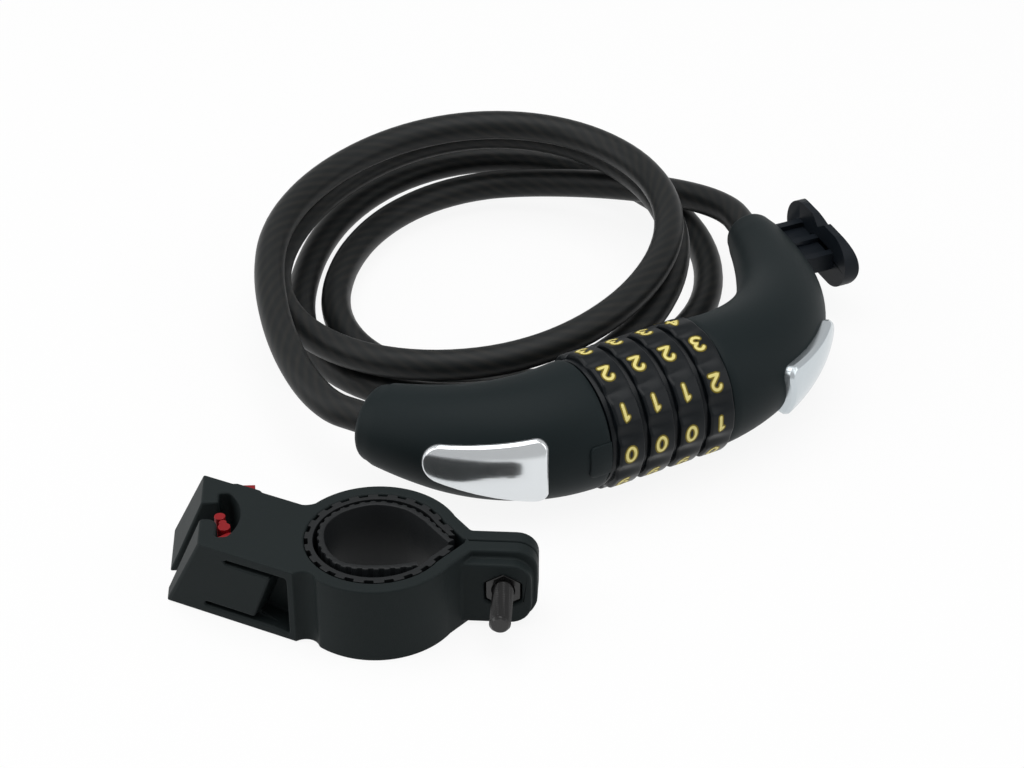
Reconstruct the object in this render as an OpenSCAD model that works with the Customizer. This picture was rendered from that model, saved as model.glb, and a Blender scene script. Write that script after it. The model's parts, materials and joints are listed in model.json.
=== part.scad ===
// Four-dial combination cable lock and its clamp-on frame bracket.
// Millimetres, Z up. The origin is on the ground, on the axis of the clamp's bore.
// The lock lies beside the bracket in a frame of its own: X along the barrel
// towards the elbow, Y towards the wound cable, origin under the first dial.

/* [Layout] */
// Place of the lock's own origin, along X
lock_x = 53; // [50:0.5:70]
// Place of the lock's own origin, along Y
lock_y = 48; // [45:0.5:65]
// Turn of the lock about the vertical
lock_turn = 27; // [20:1:32]

/* [Dials] */
// Radius of a dial over its number pads, and so the height of the barrel's axis
dial_r = 17.4; // [16.6:0.1:19]
// Distance from one dial to the next
dial_pitch = 8.6; // [8.2:0.1:9.4]
// Gap between neighbouring dials
dial_gap = 0.4; // [0.3:0.05:0.7]
// Radius of the narrow shoulder at the left of each dial
dial_shoulder_r = 15.9; // [15:0.1:16.4]
// Width of that shoulder
dial_shoulder_w = 1.3; // [0.8:0.1:1.6]
// Radius of the finger scoops between the pads
scoop_r = 3.2; // [2.6:0.1:3.6]
// Depth of the finger scoops
scoop_depth = 0.9; // [0.5:0.05:1.2]

/* [Clutch rings and pin] */
// Radius of the locking pin
pin_r = 4; // [3.4:0.1:4.3]
// Height of the pin's teeth above its axis
tooth_top = 8.8; // [8.4:0.05:8.9]
// Width of the pin's teeth
tooth_w = 2.8; // [2:0.1:3.4]
// Thickness of a tooth along the pin
tooth_t = 2.2; // [1.8:0.1:2.5]
// Outer radius of the core that the rings turn on
core_r = 7; // [6.6:0.05:7.3]
// Outer radius of a clutch ring
clutch_r = 10.6; // [10.2:0.1:11]
// Width of a clutch ring
clutch_w = 2.9; // [2.4:0.1:3.1]
// Radius of the ten detent notches in a clutch ring's bore
notch_r = 0.7; // [0.4:0.05:0.8]
// How far the core runs into the elbow housing
core_grip = 14; // [10:0.5:16]
// How far the pin runs into the plug housing
pin_grip = 20; // [14:0.5:22]
// Travel of the plug when it is pulled out
plug_travel = 33; // [25:0.5:33]

/* [Housings] */
// Radius of the plug housing beside the dials
plug_r = 16.3; // [15.6:0.1:16.6]
// Radius of the plug housing at its cable end
plug_tip_r = 9.7; // [9:0.1:11]
// Length of the plug housing along its curved axis
plug_len = 53; // [50:0.5:56]
// Radius of the elbow housing beside the dials
elbow_r = 16.5; // [15.8:0.1:16.8]
// Radius of the elbow housing at its cable end
elbow_tip_r = 6.7; // [6.3:0.1:8]
// Length of the elbow housing along its curved axis
elbow_len = 82.5; // [80:0.5:86]
// Depth of the cable's seat in each housing
cable_seat = 6; // [4:0.5:8]

/* [Plates] */
// Height of the plug's metal side plate at its wide end
plug_plate_h = 18; // [14:0.5:19]
// Height of the elbow's metal side plate at its wide end
elbow_plate_h = 15; // [12:0.5:17]
// Length of a side plate
plate_len = 30; // [24:0.5:32]
// Radius of the narrow end of a side plate
plate_tip_r = 5; // [3.5:0.1:6]
// Radius of the corners at the wide end
plate_corner_r = 3; // [2:0.1:4]
// How far the plug's plate stands proud
plug_plate_proud = 1.2; // [0.6:0.1:2]
// How far the elbow's plate stands proud
elbow_plate_proud = 2.4; // [1:0.1:3]
// Depth of the pocket that holds a plate
plate_seat = 1; // [0.8:0.1:1.5]

/* [Mounting stud] */
// Length of the stud's foot
foot_len = 31; // [28:0.5:33]
// Width of the stud's foot
foot_w = 15.6; // [14:0.1:15.8]
// Thickness of the foot at its middle
foot_t = 4.4; // [3.8:0.1:4.8]
// Thickness of the foot at its rim
foot_rim_t = 2; // [1.6:0.1:2.6]
// Depth of the catch notches in the foot's long edges
foot_notch = 2.4; // [1.8:0.1:2.8]
// Width of the post
post_w = 5.2; // [4.4:0.1:5.3]
// Length of the post along the foot
post_len = 18; // [14:0.5:20]
// Distance from the elbow's cable end back to the middle of the post
stud_back = 13; // [12:0.5:18]
// Distance the foot stands off the elbow
stud_stand = 7.6; // [6:0.1:9]

/* [Clamp] */
// Radius of the clamp ring
ring_r = 19.7; // [19.2:0.1:21]
// Wall of the clamp ring
ring_wall = 3.3; // [2.6:0.1:3.6]
// Height of the bracket
bracket_h = 20; // [18:0.5:24]
// Thickness of the liner with its ribs
liner_t = 2; // [1.6:0.1:2.4]
// Thickness of the loose strip, which leaves the bore that takes the tube
insert_t = 1.65; // [1.2:0.05:1.9]
// Gap between the two ears
ear_gap = 0.3; // [0.2:0.1:2]
// Radius of the clamp bolt
bolt_r = 2.5; // [2:0.1:2.7]
// Distance of the bolt from the clamp's axis
bolt_reach = 29.2; // [28.5:0.1:30]

/* [Receiver and latch] */
// Play of the stud's foot and post in the receiver, on each side
foot_play = 0.4; // [0.25:0.05:0.6]
// Travel of the release latch
latch_travel = 2.6; // [2:0.1:2.6]

/* [Cable] */
// Diameter of the cable
cable_d = 8; // [8:0.01:8.01]

/* [Hidden] */
$fn = 64;
eps = 0.01;
fit = 0.05;                 // running or seated clearance on a radius
slip = 0.15;                // clearance round a loose-fitting piece
digits = 10;
dial_count = 4;
step_angle = 360 / digits;

// Barrel, along the lock's X axis
axis_z = dial_r;
dial_w = dial_pitch - dial_gap;
pack_left = -dial_w / 2;
pack_right = (dial_count - 1) * dial_pitch + dial_w / 2;
plug_face = pack_left - dial_gap;
elbow_face = pack_right + dial_gap;
clutch_x = pack_left + 0.9;                 // left face of a clutch ring from its dial's centre
tooth_x = clutch_x + clutch_w + 0.2;        // left face of the tooth behind that ring
pin_tip = (dial_count - 1) * dial_pitch + tooth_x + tooth_t + 0.3;
pin_tail = plug_face - pin_grip;
core_left = pack_left - 0.1;
core_right = elbow_face + core_grip;
slot_angle = -90;                           // the pin's teeth point along -Y
web_r = tooth_top + 0.6;
washer_t = 0.6;
washer_r = 11.8;

function dial_at(i) = (i - 1) * dial_pitch;

// Curved axes: each is a list of [heading at start, heading at end, share of length]
plug_bends = [[180, 180, 0.06], [180, 135, 0.59], [135, 122, 0.35]];
elbow_bends = [[0, 64, 0.64], [64, 78, 0.36]];
plug_heading = 122;
elbow_heading = 78;
axis_steps = 20;
skin_sides = 36;

function span(bends, i) = i < 0 ? 0 : bends[i][2] + span(bends, i - 1);
function leg(bends, t, i = 0) = i >= len(bends) - 1 || t <= span(bends, i) ? i : leg(bends, t, i + 1);
function heading(bends, t) = let(
    i = leg(bends, t),
    f = (t - span(bends, i - 1)) / bends[i][2])
    bends[i][0] + (bends[i][1] - bends[i][0]) * f;
function along(a) = [cos(a), sin(a), 0];
// Points of a curved axis of a given length, axis_steps legs long
function walk(bends, start, length, i = 0) = i > axis_steps ? [] :
    concat([start], walk(bends,
        start + along(heading(bends, (i + 0.5) / axis_steps)) * length / axis_steps, length, i + 1));

plug_axis = walk(plug_bends, [plug_face, 0, axis_z], plug_len);
elbow_axis = walk(elbow_bends, [elbow_face, 0, axis_z], elbow_len);
plug_end = plug_axis[axis_steps];
elbow_end = elbow_axis[axis_steps];
plug_out = along(plug_heading);
elbow_out = along(elbow_heading);

function plug_skin(t) = plug_tip_r + (plug_r - plug_tip_r) * (1 - pow(t, 1.45));
function elbow_skin(t) = elbow_tip_r + (elbow_r - elbow_tip_r) * (1 - pow(t, 1.2));

// Ends: the radius closes in over a quarter round of this size
plug_round = 2.5;
elbow_round = 2.2;
face_round = 0.6;

// A round skin along a curved axis, rounded at both ends
function ring_at(p, a, r) = [for (k = [0 : skin_sides - 1]) let(q = 360 * k / skin_sides)
    p + r * cos(q) * [sin(a), -cos(a), 0] + [0, 0, r * sin(q)]];
function skin_rings(points, bends, radii, near, far, length) = concat(
    [for (k = [0 : 2]) let(q = 90 * k / 3)
        ring_at(points[0] + along(bends[0][0]) * near * (1 - cos(q)),
            bends[0][0], radii[0] - near + near * sin(q))],
    [for (i = [1 : axis_steps - 2]) ring_at(points[i], heading(bends, i / axis_steps), radii[i])],
    [for (k = [3 : -1 : 0]) let(q = 90 * k / 3, a = bends[len(bends) - 1][1])
        ring_at(points[axis_steps] - along(a) * far * (1 - cos(q)), a,
            radii[axis_steps] - far + far * sin(q))]);
module skin(rings) {
    n = skin_sides;
    last = len(rings) - 1;
    points = [for (ring = rings) each ring];
    faces = concat(
        [[for (k = [n - 1 : -1 : 0]) k]],
        [for (i = [0 : last - 1]) for (k = [0 : n - 1]) let(m = (k + 1) % n)
            each [[i * n + k, (i + 1) * n + m, (i + 1) * n + k],
                [i * n + k, i * n + m, (i + 1) * n + m]]],
        [[for (k = [0 : n - 1]) last * n + k]]);
    polyhedron(points, faces, convexity = 8);
}
module plug_form(grow = 0) {
    radii = [for (i = [0 : axis_steps]) plug_skin(i / axis_steps) + grow];
    skin(skin_rings(plug_axis, plug_bends, radii, face_round, plug_round, plug_len));
}
module elbow_form(grow = 0) {
    radii = [for (i = [0 : axis_steps]) elbow_skin(i / axis_steps) + grow];
    skin(skin_rings(elbow_axis, elbow_bends, radii, face_round, elbow_round, elbow_len));
}

// Frames
module in_lock() translate([lock_x, lock_y, 0]) rotate([0, 0, lock_turn]) children();
module on_barrel(x) translate([x, 0, axis_z]) rotate([0, 90, 0]) children();
// Looks out of a housing's cable end: +Z runs out along the cable
module at_mouth(point, a) translate(point) rotate([0, 90, a]) children();
module ring(r_out, r_in, h) difference() {
    cylinder(r = r_out, h = h);
    translate([0, 0, -1]) cylinder(r = r_in, h = h + 2);
}

// Housings
ferrule_r = 3.9;
ferrule_len = 12;
ferrule_pin_r = 1.25;
mouth_r = cable_d / 2 + 0.35;
module mouth_bores() {
    // the cable's seat and the ferrule's bore behind it
    translate([0, 0, -cable_seat]) cylinder(r = mouth_r, h = cable_seat + 5);
    translate([0, 0, -cable_seat - ferrule_len - fit]) cylinder(r = ferrule_r + fit, h = ferrule_len + fit);
}
module mouth_pin_bore() {
    // runs out through the underside
    translate([0, 0, -cable_seat - ferrule_len / 2]) rotate([0, 90, 0])
        translate([0, 0, -ferrule_r - 1]) cylinder(r = ferrule_pin_r + 0.02, h = ferrule_r + 1 + dial_r);
}
core_pin_r = 1.5;
core_pin_x = elbow_face + 7;
cross_pin_r = 1.25;
cross_pin_x = plug_face - 10;

// Side plates: a wedge with a round narrow end, drawn flat and cut through the skin
plug_plate_ends = [-0.6, 1.2];              // heights of the wide and narrow ends' middles
elbow_plate_ends = [-2.1, -0.8];
plate_reach = plug_r + elbow_r;             // depth of a plate's prism, past any skin
plug_plate_start = 7.1;                     // from the housing's face, along the barrel
elbow_plate_start = 10;
module plate_outline(h, ends, grow = 0) {
    wide = h / 2 - plate_corner_r;
    hull() {
        for (s = [-1, 1]) translate([plate_corner_r, s * wide + ends[0]])
            circle(r = plate_corner_r + grow, $fn = 32);
        translate([plate_len - plate_tip_r, ends[1]]) circle(r = plate_tip_r + grow, $fn = 32);
    }
}
plug_plate_turn = -34;                      // turn of the flat sketch off the barrel's side
elbow_plate_turn = 35;
module plug_plate_prism(grow = 0) {
    translate([plug_face - plug_plate_start, 0, axis_z]) rotate([90, 0, plug_plate_turn])
        mirror([1, 0, 0]) linear_extrude(plate_reach) plate_outline(plug_plate_h, plug_plate_ends, grow);
}
module elbow_plate_prism(grow = 0) {
    translate([elbow_face + elbow_plate_start, 0, axis_z]) rotate([90, 0, elbow_plate_turn])
        linear_extrude(plate_reach) plate_outline(elbow_plate_h, elbow_plate_ends, grow);
}

// Index tab beside the first dial, on the plug housing
tab_w = 6;
tab_h = 9;
tab_proud = 0.6;
tab_root = 4;                               // depth of the tab's root inside the housing
module index_tab() {
    intersection() {
        on_barrel(plug_face - tab_w) cylinder(r = plug_r + tab_proud, h = tab_w);
        translate([plug_face - tab_w, -plug_r - tab_proud, axis_z - tab_h / 2])
            cube([tab_w, tab_proud + tab_root, tab_h]);
    }
}

module plug_housing() color("#1c2226") in_lock() difference() {
    union() {
        plug_form();
        index_tab();
    }
    on_barrel(pin_tail - fit) cylinder(r = pin_r + fit, h = pin_grip + 5);
    at_mouth(plug_end, plug_heading) mouth_bores();
    at_mouth(plug_end, plug_heading) mouth_pin_bore();
    translate([cross_pin_x, 0, 0]) cylinder(r = cross_pin_r + 0.02, h = axis_z + pin_r + 2);
    difference() {
        plug_plate_prism(slip);
        plug_form(-plate_seat);
    }
}
module plug_plate() color("#c9cdd0") in_lock() difference() {
    intersection() {
        plug_form(plug_plate_proud);
        plug_plate_prism();
    }
    plug_form(-plate_seat + fit);
}

post_angle = -5;                            // heading of the stud's post
stud_roll = 4;                              // the foot leans by this much about the post
stud_at = 1 - stud_back / elbow_len;        // share of the elbow's axis at the post's middle
function on_axis(p, t) = let(i = min(floor(t * axis_steps), axis_steps - 1), f = t * axis_steps - i)
    p[i] + f * (p[i + 1] - p[i]);
// Middle of the foot's inner face
foot_at = on_axis(elbow_axis, stud_at) + along(post_angle) * (elbow_skin(stud_at) + stud_stand);
post_in = 10;                               // from the foot to the post's inner end, at mid-length
post_skew = 7;                              // that end is cut parallel to the housing's axis there
function post_start(y) = -post_in + y * tan(post_skew);
module post_bar(y0, y1, h, grow = 0) translate([0, 0, -h / 2 - grow]) linear_extrude(h + 2 * grow)
    polygon([[post_start(y0 - grow) - grow, y0 - grow], [0.5 - 3 * grow, y0 - grow],
        [0.5 - 3 * grow, y1 + grow], [post_start(y1 + grow) - grow, y1 + grow]]);
module on_stud() translate(foot_at) rotate([0, 0, post_angle])
    rotate([stud_roll, 0, 0]) children();
module elbow_housing() color("#1c2226") in_lock() difference() {
    elbow_form();
    on_barrel(elbow_face - 5) cylinder(r = core_r + 0.02, h = core_grip + 5 + fit);
    translate([core_pin_x, 0, 0]) cylinder(r = core_pin_r + 0.02, h = axis_z + core_r + 2);
    at_mouth(elbow_end, elbow_heading) mouth_bores();
    at_mouth(elbow_end, elbow_heading) mouth_pin_bore();
    on_stud() post_bar(-post_len / 2, post_len / 2, post_w, fit);
    difference() {
        elbow_plate_prism(slip);
        elbow_form(-plate_seat);
    }
}
module elbow_plate() color("#c9cdd0") in_lock() difference() {
    intersection() {
        elbow_form(elbow_plate_proud);
        elbow_plate_prism();
    }
    elbow_form(-plate_seat + fit);
}

// Barrel
// Profile of a dial: a shoulder on the left, then the pad with rounded edges
pad_round = 0.8;
module dial_profile() {
    polygon(concat(
        [[clutch_r + fit, 0], [dial_shoulder_r - 0.3, 0], [dial_shoulder_r, 0.3],
            [dial_shoulder_r, dial_shoulder_w]],
        [for (k = [0 : 4]) let(q = 90 - 22.5 * k)
            [dial_r - pad_round * (1 - cos(q)), dial_shoulder_w + pad_round * (1 - sin(q))]],
        [for (k = [0 : 4]) let(q = 22.5 * k)
            [dial_r - pad_round / 2 * (1 - cos(q)), dial_w - pad_round / 2 * (1 - sin(q))]],
        [[web_r, dial_w], [web_r, -clutch_seat_x], [clutch_r + fit, -clutch_seat_x]]));
}
clutch_seat_x = pack_left - clutch_x - clutch_w - fit;      // shoulder inside the dial
key_w = 2.4;
key_h = 0.8;
key_root = 1;                               // depth of a key's root inside its ring
module key_bars(grow) for (s = [-1, 1])
    translate([s * (clutch_r - key_root) - (s < 0 ? key_h + grow : 0), -key_w / 2 - grow, 0])
        cube([key_root + key_h + grow, key_w + 2 * grow, 2 * dial_pitch]);
module dial_body() difference() {
    rotate_extrude() dial_profile();
    for (i = [0 : digits - 1]) rotate([0, 0, slot_angle + (i + 0.5) * step_angle])
        translate([dial_r + scoop_r - scoop_depth, 0, -1]) cylinder(r = scoop_r, h = dial_w + 2);
    // room for the washer, and for the ring's keys
    translate([0, 0, -1]) cylinder(r = washer_r + slip, h = 1 + clutch_x - pack_left - fit);
    intersection() {
        translate([0, 0, -1]) key_bars(slip);
        translate([0, 0, -1]) cylinder(r = clutch_r + key_h + slip, h = 1 - clutch_seat_x);
    }
}
module dial(i) color("#15191c") in_lock() on_barrel(dial_at(i) + pack_left) dial_body();

gate_w = tooth_w + 0.5;
module clutch_ring(i) color("#b08d3f") in_lock() on_barrel(dial_at(i) + clutch_x) difference() {
    union() {
        cylinder(r = clutch_r, h = clutch_w);
        intersection() {
            key_bars(0);
            cylinder(r = clutch_r + key_h, h = clutch_w);
        }
    }
    translate([0, 0, -1]) cylinder(r = core_r + fit, h = clutch_w + 2);
    rotate([0, 0, slot_angle]) translate([0, -gate_w / 2, -1]) cube([web_r, gate_w, clutch_w + 2]);
    for (k = [1 : digits - 1]) rotate([0, 0, slot_angle + k * step_angle])
        translate([core_r + fit, 0, -1]) cylinder(r = notch_r, h = clutch_w + 2, $fn = 24);
}

core_bore = pin_r + 0.06;
spring_seat = core_r - 1.7;
spring_w = 3;
spring_left = core_left + 0.5;
spring_right = pack_right - 1;
module lock_core() color("#8d9194") in_lock() difference() {
    on_barrel(core_left) cylinder(r = core_r, h = core_right - core_left);
    on_barrel(core_left - 1) cylinder(r = core_bore, h = pin_tip - core_left + 2);
    // slot for the teeth, open at the plug's end
    translate([core_left - 1, -core_r - 1, axis_z - gate_w / 2])
        cube([pin_tip + 1 - core_left + 1, core_r + 1, gate_w]);
    // seat of the detent spring
    translate([spring_left - slip, spring_seat, axis_z - spring_w / 2 - slip])
        cube([spring_right - spring_left + 2 * slip, 5, spring_w + 2 * slip]);
    translate([core_pin_x, 0, 0]) cylinder(r = core_pin_r + 0.02, h = axis_z + core_r + 2);
}
module core_pin() color("#8d9194") in_lock()
    translate([core_pin_x, 0, axis_z - core_r - 4]) cylinder(r = core_pin_r, h = 2 * core_r + 4);

// A leaf with one hump under each clutch ring
leaf_t = 0.35;
hump = core_r - 0.35 - spring_seat - leaf_t;
module detent_spring() color("#9aa0a4") in_lock() {
    knots = concat([[spring_left, 0]], [for (i = [1 : dial_count]) let(c = dial_at(i) + clutch_x + clutch_w / 2)
        each [[c - 1.6, 0], [c - 0.5, hump], [c + 0.5, hump], [c + 1.6, 0]]], [[spring_right, 0]]);
    outline = concat(knots, [for (k = [len(knots) - 1 : -1 : 0]) [knots[k][0], knots[k][1] + leaf_t]]);
    translate([0, spring_seat + eps, axis_z - spring_w / 2]) linear_extrude(spring_w) polygon(outline);
}
module dial_washer() color("#5d6164") in_lock() on_barrel(pack_left + 0.1) difference() {
    ring(washer_r, core_r + 0.02, washer_t);
    rotate([0, 0, slot_angle]) translate([0, -gate_w / 2, -1]) cube([web_r, gate_w, washer_t + 2]);
}

module shackle_pin() color("#a3a8ab") in_lock() difference() {
    union() {
        on_barrel(pin_tail) cylinder(r = pin_r, h = pin_tip - pin_tail - 0.8);
        on_barrel(pin_tip - 0.8) cylinder(r1 = pin_r, r2 = pin_r - 0.8, h = 0.8, $fn = 64);
        for (i = [1 : dial_count]) translate([dial_at(i) + tooth_x, -tooth_top, axis_z - tooth_w / 2])
            cube([tooth_t, tooth_top - 2, tooth_w]);
    }
    translate([cross_pin_x, 0, 0]) cylinder(r = cross_pin_r + 0.02, h = axis_z + pin_r + 2);
}
module shackle_cross_pin() color("#8d9194") in_lock()
    translate([cross_pin_x, 0, axis_z - pin_r - 5]) cylinder(r = cross_pin_r, h = 2 * pin_r + 5);

// Cable ends
module ferrule() difference() {
    translate([0, 0, -cable_seat - ferrule_len]) cylinder(r = ferrule_r, h = ferrule_len);
    translate([0, 0, -cable_seat - ferrule_len / 2]) rotate([0, 90, 0])
        translate([0, 0, -ferrule_r - 1]) cylinder(r = ferrule_pin_r + 0.02, h = 2 * ferrule_r + 2);
}
module ferrule_pin() translate([0, 0, -cable_seat - ferrule_len / 2]) rotate([0, 90, 0])
    translate([0, 0, -ferrule_r - 0.8]) cylinder(r = ferrule_pin_r, h = 2 * ferrule_r + 0.8);
module plug_ferrule() color("#8d9194") in_lock() at_mouth(plug_end, plug_heading) ferrule();
module plug_ferrule_pin() color("#77797c") in_lock() at_mouth(plug_end, plug_heading) ferrule_pin();
module elbow_ferrule() color("#8d9194") in_lock() at_mouth(elbow_end, elbow_heading) ferrule();
module elbow_ferrule_pin() color("#77797c") in_lock() at_mouth(elbow_end, elbow_heading) ferrule_pin();

// Stud
post_web = 2.2;                             // the post is an I in section
post_flange = 2;
notch_half = 3;
module mount_stud() color("#20252b") in_lock() on_stud() {
    difference() {
        union() {
            // foot: flat on the post's side, crowned on the other
            intersection() {
                rotate([0, 90, 0]) linear_extrude(foot_t) hull() for (s = [-1, 1])
                    translate([0, s * (foot_len / 2 - foot_w / 2)]) circle(d = foot_w);
                crown = (pow(foot_w / 2, 2) + pow(foot_t - foot_rim_t, 2)) / (2 * (foot_t - foot_rim_t));
                translate([foot_t - crown, foot_len / 2, 0]) rotate([90, 0, 0])
                    cylinder(r = crown, h = foot_len);
            }
            post();
        }
        for (s = [-1, 1]) translate([-1, 0, s * foot_w / 2]) rotate([0, 90, 0])
            linear_extrude(foot_t + 2)
                polygon([[0, notch_half], [s * foot_notch, 0], [0, -notch_half],
                    [-s * 2, -notch_half], [-s * 2, notch_half]]);
    }
}
module post() {
    post_bar(-post_len / 2, -post_len / 2 + post_flange, post_w);
    post_bar(-post_flange / 2, post_flange / 2, post_w);
    post_bar(post_len / 2 - post_flange, post_len / 2, post_w);
    post_bar(-post_len / 2 + 1, post_len / 2 - 1, post_web);
}

// Bracket
bore_r = ring_r - ring_wall;
liner_r = bore_r - liner_t;
tube_r = liner_r - fit - insert_t;
ring_point = 52;                            // half the angle at which its sides meet between the ears
ear_angle = -6;
wall_angle = -28.5;                         // the receiver's side walls
end_x = -40.3;                              // the receiver's end face at the top
end_slope = 23.7;                           // that face leans out by this much
cavity_x = -36.4;                           // flat side of the foot's cavity
cavity_y = 2.1;                             // near end of that cavity
cavity_w = foot_w + 2 * foot_play;
cavity_d = foot_t + 2 * foot_play;
cavity_rim = foot_rim_t + foot_play;        // depth at the two ends
slot_w = post_w + 2 * foot_play;
slot_y = cavity_y + (cavity_w - slot_w) / 2 + 1.6;
jaw_rounds = [2.4, 0.6];                    // inner corners of the near and far jaws
far_wall = 3.7;                             // far side wall, in the walls' own frame
split_y = 0.4;
ear_end = 36.9;
ear_bottom = 1.4;
ear_t = 3.6;
boss_t = 6.4;                               // the near ear with its boss
boss_top = 18;
boss_inset = 1.2;
bolt_z = 10.3;
boss_round = 5;
module on_walls() rotate([0, 0, wall_angle]) children();
module on_ears() rotate([0, 0, ear_angle]) children();

groove_x = -7.6;                            // groove between the receiver and the ring, near side
groove_r = 3.2;
module receiver_block() intersection() {
    on_walls() translate([0, 0, -2]) linear_extrude(bracket_h + 4)
        polygon([[2 * end_x, -ring_r], [groove_x, -ring_r], [0, 0], [0, far_wall], [2 * end_x, far_wall]]);
    translate([end_x, -ring_r, bracket_h]) rotate([0, end_slope, 0])
        translate([0, -ring_r, -3 * bracket_h]) cube([4 * ring_r, 4 * ring_r, 6 * bracket_h]);
}
// The ring: round, with straight sides that meet in a point between the ears
module wedge(r) polygon([[0, 0], r * [sin(ring_point), -cos(ring_point)], [r / sin(ring_point), 0],
    r * [sin(ring_point), cos(ring_point)]]);
point_seat = 0.3;                           // its straight sides lie this far inside the round's tangents
module pointed(r, h) on_ears() {
    cylinder(r = r, h = h);
    linear_extrude(h) wedge(r - point_seat);
}
module pointed_ring(r_out, r_in, h) difference() {
    pointed(r_out, h);
    translate([0, 0, -1]) pointed(r_in, h + 2);
}
// Fills a hollow corner up to a round of radius r about a centre, from a wall at height y0
fillet_over = 0.15;                         // the round is cut this much deeper, so that it ends in an edge
module fillet(centre, away, y0, r, h) difference() {
    linear_extrude(h) polygon([[centre.x, y0 - 1], centre, centre - away * (r + 0.5),
        [centre.x - away.x * (r + 0.5), y0 - 1]]);
    translate([centre.x, centre.y, -bracket_h]) cylinder(r = r + fillet_over, h = 3 * bracket_h);
}
wall_fillet_r = 4;
module wall_fillet() {
    y = far_wall + wall_fillet_r;
    c = [-sqrt(pow(ring_r + wall_fillet_r, 2) - y * y), y];
    on_walls() translate([0, 0, -4]) fillet(c, c / norm(c), far_wall, wall_fillet_r, bracket_h + 8);
}
cavity_bow = cavity_d - cavity_rim;
cavity_arc = (pow(cavity_w / 2, 2) + pow(cavity_bow, 2)) / (2 * cavity_bow);
module cavity_outline() intersection() {
    translate([cavity_x, cavity_y]) square([cavity_d, cavity_w]);
    translate([cavity_x + cavity_d - cavity_arc, cavity_y + cavity_w / 2]) circle(r = cavity_arc);
}
module slot_outline() {
    translate([2 * end_x, slot_y]) square([cavity_x + 0.5 - 2 * end_x, slot_w]);
    translate([cavity_x, slot_y]) corner_cut(jaw_rounds[0]);
    translate([cavity_x, slot_y + slot_w]) mirror([0, 1]) corner_cut(jaw_rounds[1]);
}
module corner_cut(r) translate([-r, -r]) difference() {
    square(r + eps);
    circle(r = r);
}
// Latch pocket: beside the cavity, then into its near end
latch_z = 6;
latch_h = 12.8;
arm_x = cavity_x + cavity_d + 0.9;
arm_w = 2.6;
hook_near = cavity_y + 0.2;
hook_tip = 4.9;
stem_z = 11;                                // the button's stem is lower than the arm, which stops it
stem_h = 7.4;
stem_w = 3;
stem_root = 0.2;                            // overlap of stem and arm
arm_end = cavity_y + cavity_w - 0.6;
stem_x = arm_x + 0.5;                       // middle of the stem
// The far wall's outer face where the stem comes through
button_face = (far_wall + stem_x * sin(wall_angle)) / cos(wall_angle);
button_end = button_face + latch_travel + 0.4;
button_rim = [8, 6, 0.5];                   // raised rim round the button: width, top width, height
spring_r = 1.3;
spring_wire_r = 0.25;
spring_curls = 5;
spring_bore = 3.8;
pocket_near = hook_near - latch_travel - 0.3;
arm_mid = arm_x + arm_w / 2;
module latch_pocket() {
    translate([arm_x - slip, pocket_near, latch_z - slip])
        cube([arm_w + 2 * slip, arm_end + slip - pocket_near, latch_h + 2 * slip]);
    translate([cavity_x + 0.3 - slip, pocket_near, latch_z - slip])
        cube([arm_x - cavity_x, hook_tip + slip - pocket_near, latch_h + 2 * slip]);
    translate([stem_x - stem_w / 2 - slip, arm_end - stem_root - latch_travel - slip, stem_z - slip])
        cube([stem_w + 2 * slip, 2 * ring_r, stem_h + 2 * slip]);
    translate([arm_mid, pocket_near + 0.5, latch_z + latch_h / 2]) rotate([90, 0, 0])
        cylinder(r = spring_r + spring_wire_r + slip, h = spring_bore + 0.5);
}
// Tongue pressed out of the near wall by a U of thin slots
tongue_t = 3;
tongue_slot = 1.1;
tongue_root = -12.4;                        // right ends of the slots, along the wall
tongue_pocket = 6.5;                        // depth of the slanted pocket at the tongue's end
tongue_top = [-28.4, 16.4];                 // left end and height of the upper slot
tongue_foot = [-34.6, 2.4];                 // and of the lower one
module tongue_slots() on_walls() translate([0, -ring_r - 1, 0]) {
    for (slot = [tongue_top, tongue_foot]) translate([slot.x, 0, slot.y])
        cube([tongue_root - slot.x, 1 + tongue_t, tongue_slot]);
    rotate([90, 0, 0]) mirror([0, 0, 1]) linear_extrude(1 + tongue_pocket)
        polygon([[tongue_root, 1.9], [tongue_root, 17.5], [-16.5, 16.5], [-21.7, 3]]);
}
module corner_groove() on_walls() translate([groove_x, -ring_r - 1.2, -1])
    cylinder(r = groove_r, h = bracket_h + 2);
module rim_of_button() on_walls() translate([0, 0, -3]) linear_extrude(bracket_h + 6)
    translate([stem_x * cos(wall_angle) + button_face * sin(wall_angle), far_wall])
        polygon([[-button_rim[0] / 2, -1], [-button_rim[0] / 2, 0], [-button_rim[1] / 2, button_rim[2]],
            [button_rim[1] / 2, button_rim[2]], [button_rim[0] / 2, 0], [button_rim[0] / 2, -1]]);
module ear(t, h1, side, inset = 0) {
    y0 = side > 0 ? ear_gap / 2 : -ear_gap / 2 - t;
    h0 = ear_bottom;
    end = ear_end - inset;
    translate([0, y0 + split_y, 0]) rotate([90, 0, 0]) translate([0, 0, -t]) linear_extrude(t) hull() {
        translate([ring_r - 4, h0]) square([4, h1 - h0]);
        for (z = [h0 + boss_round, h1 - boss_round]) translate([end - boss_round, z])
            circle(r = boss_round, $fn = 32);
    }
}
nut_w = 8;
nut_t = 4;
nut_play = 0.3;
nut_deep = 0.6;                             // the nut lies this deep in the boss
near_face = split_y - ear_gap / 2 - boss_t; // outer face of the boss
far_face = split_y + ear_gap / 2 + ear_t;   // outer face of the far ear
module nut_prism(grow, h) rotate([90, 30, 0])
    cylinder(r = (nut_w / 2 + grow) / cos(30), h = h, $fn = 6);
module bracket_slab() translate([-4 * ring_r, -4 * ring_r, 0]) cube([8 * ring_r, 8 * ring_r, bracket_h]);
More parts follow.
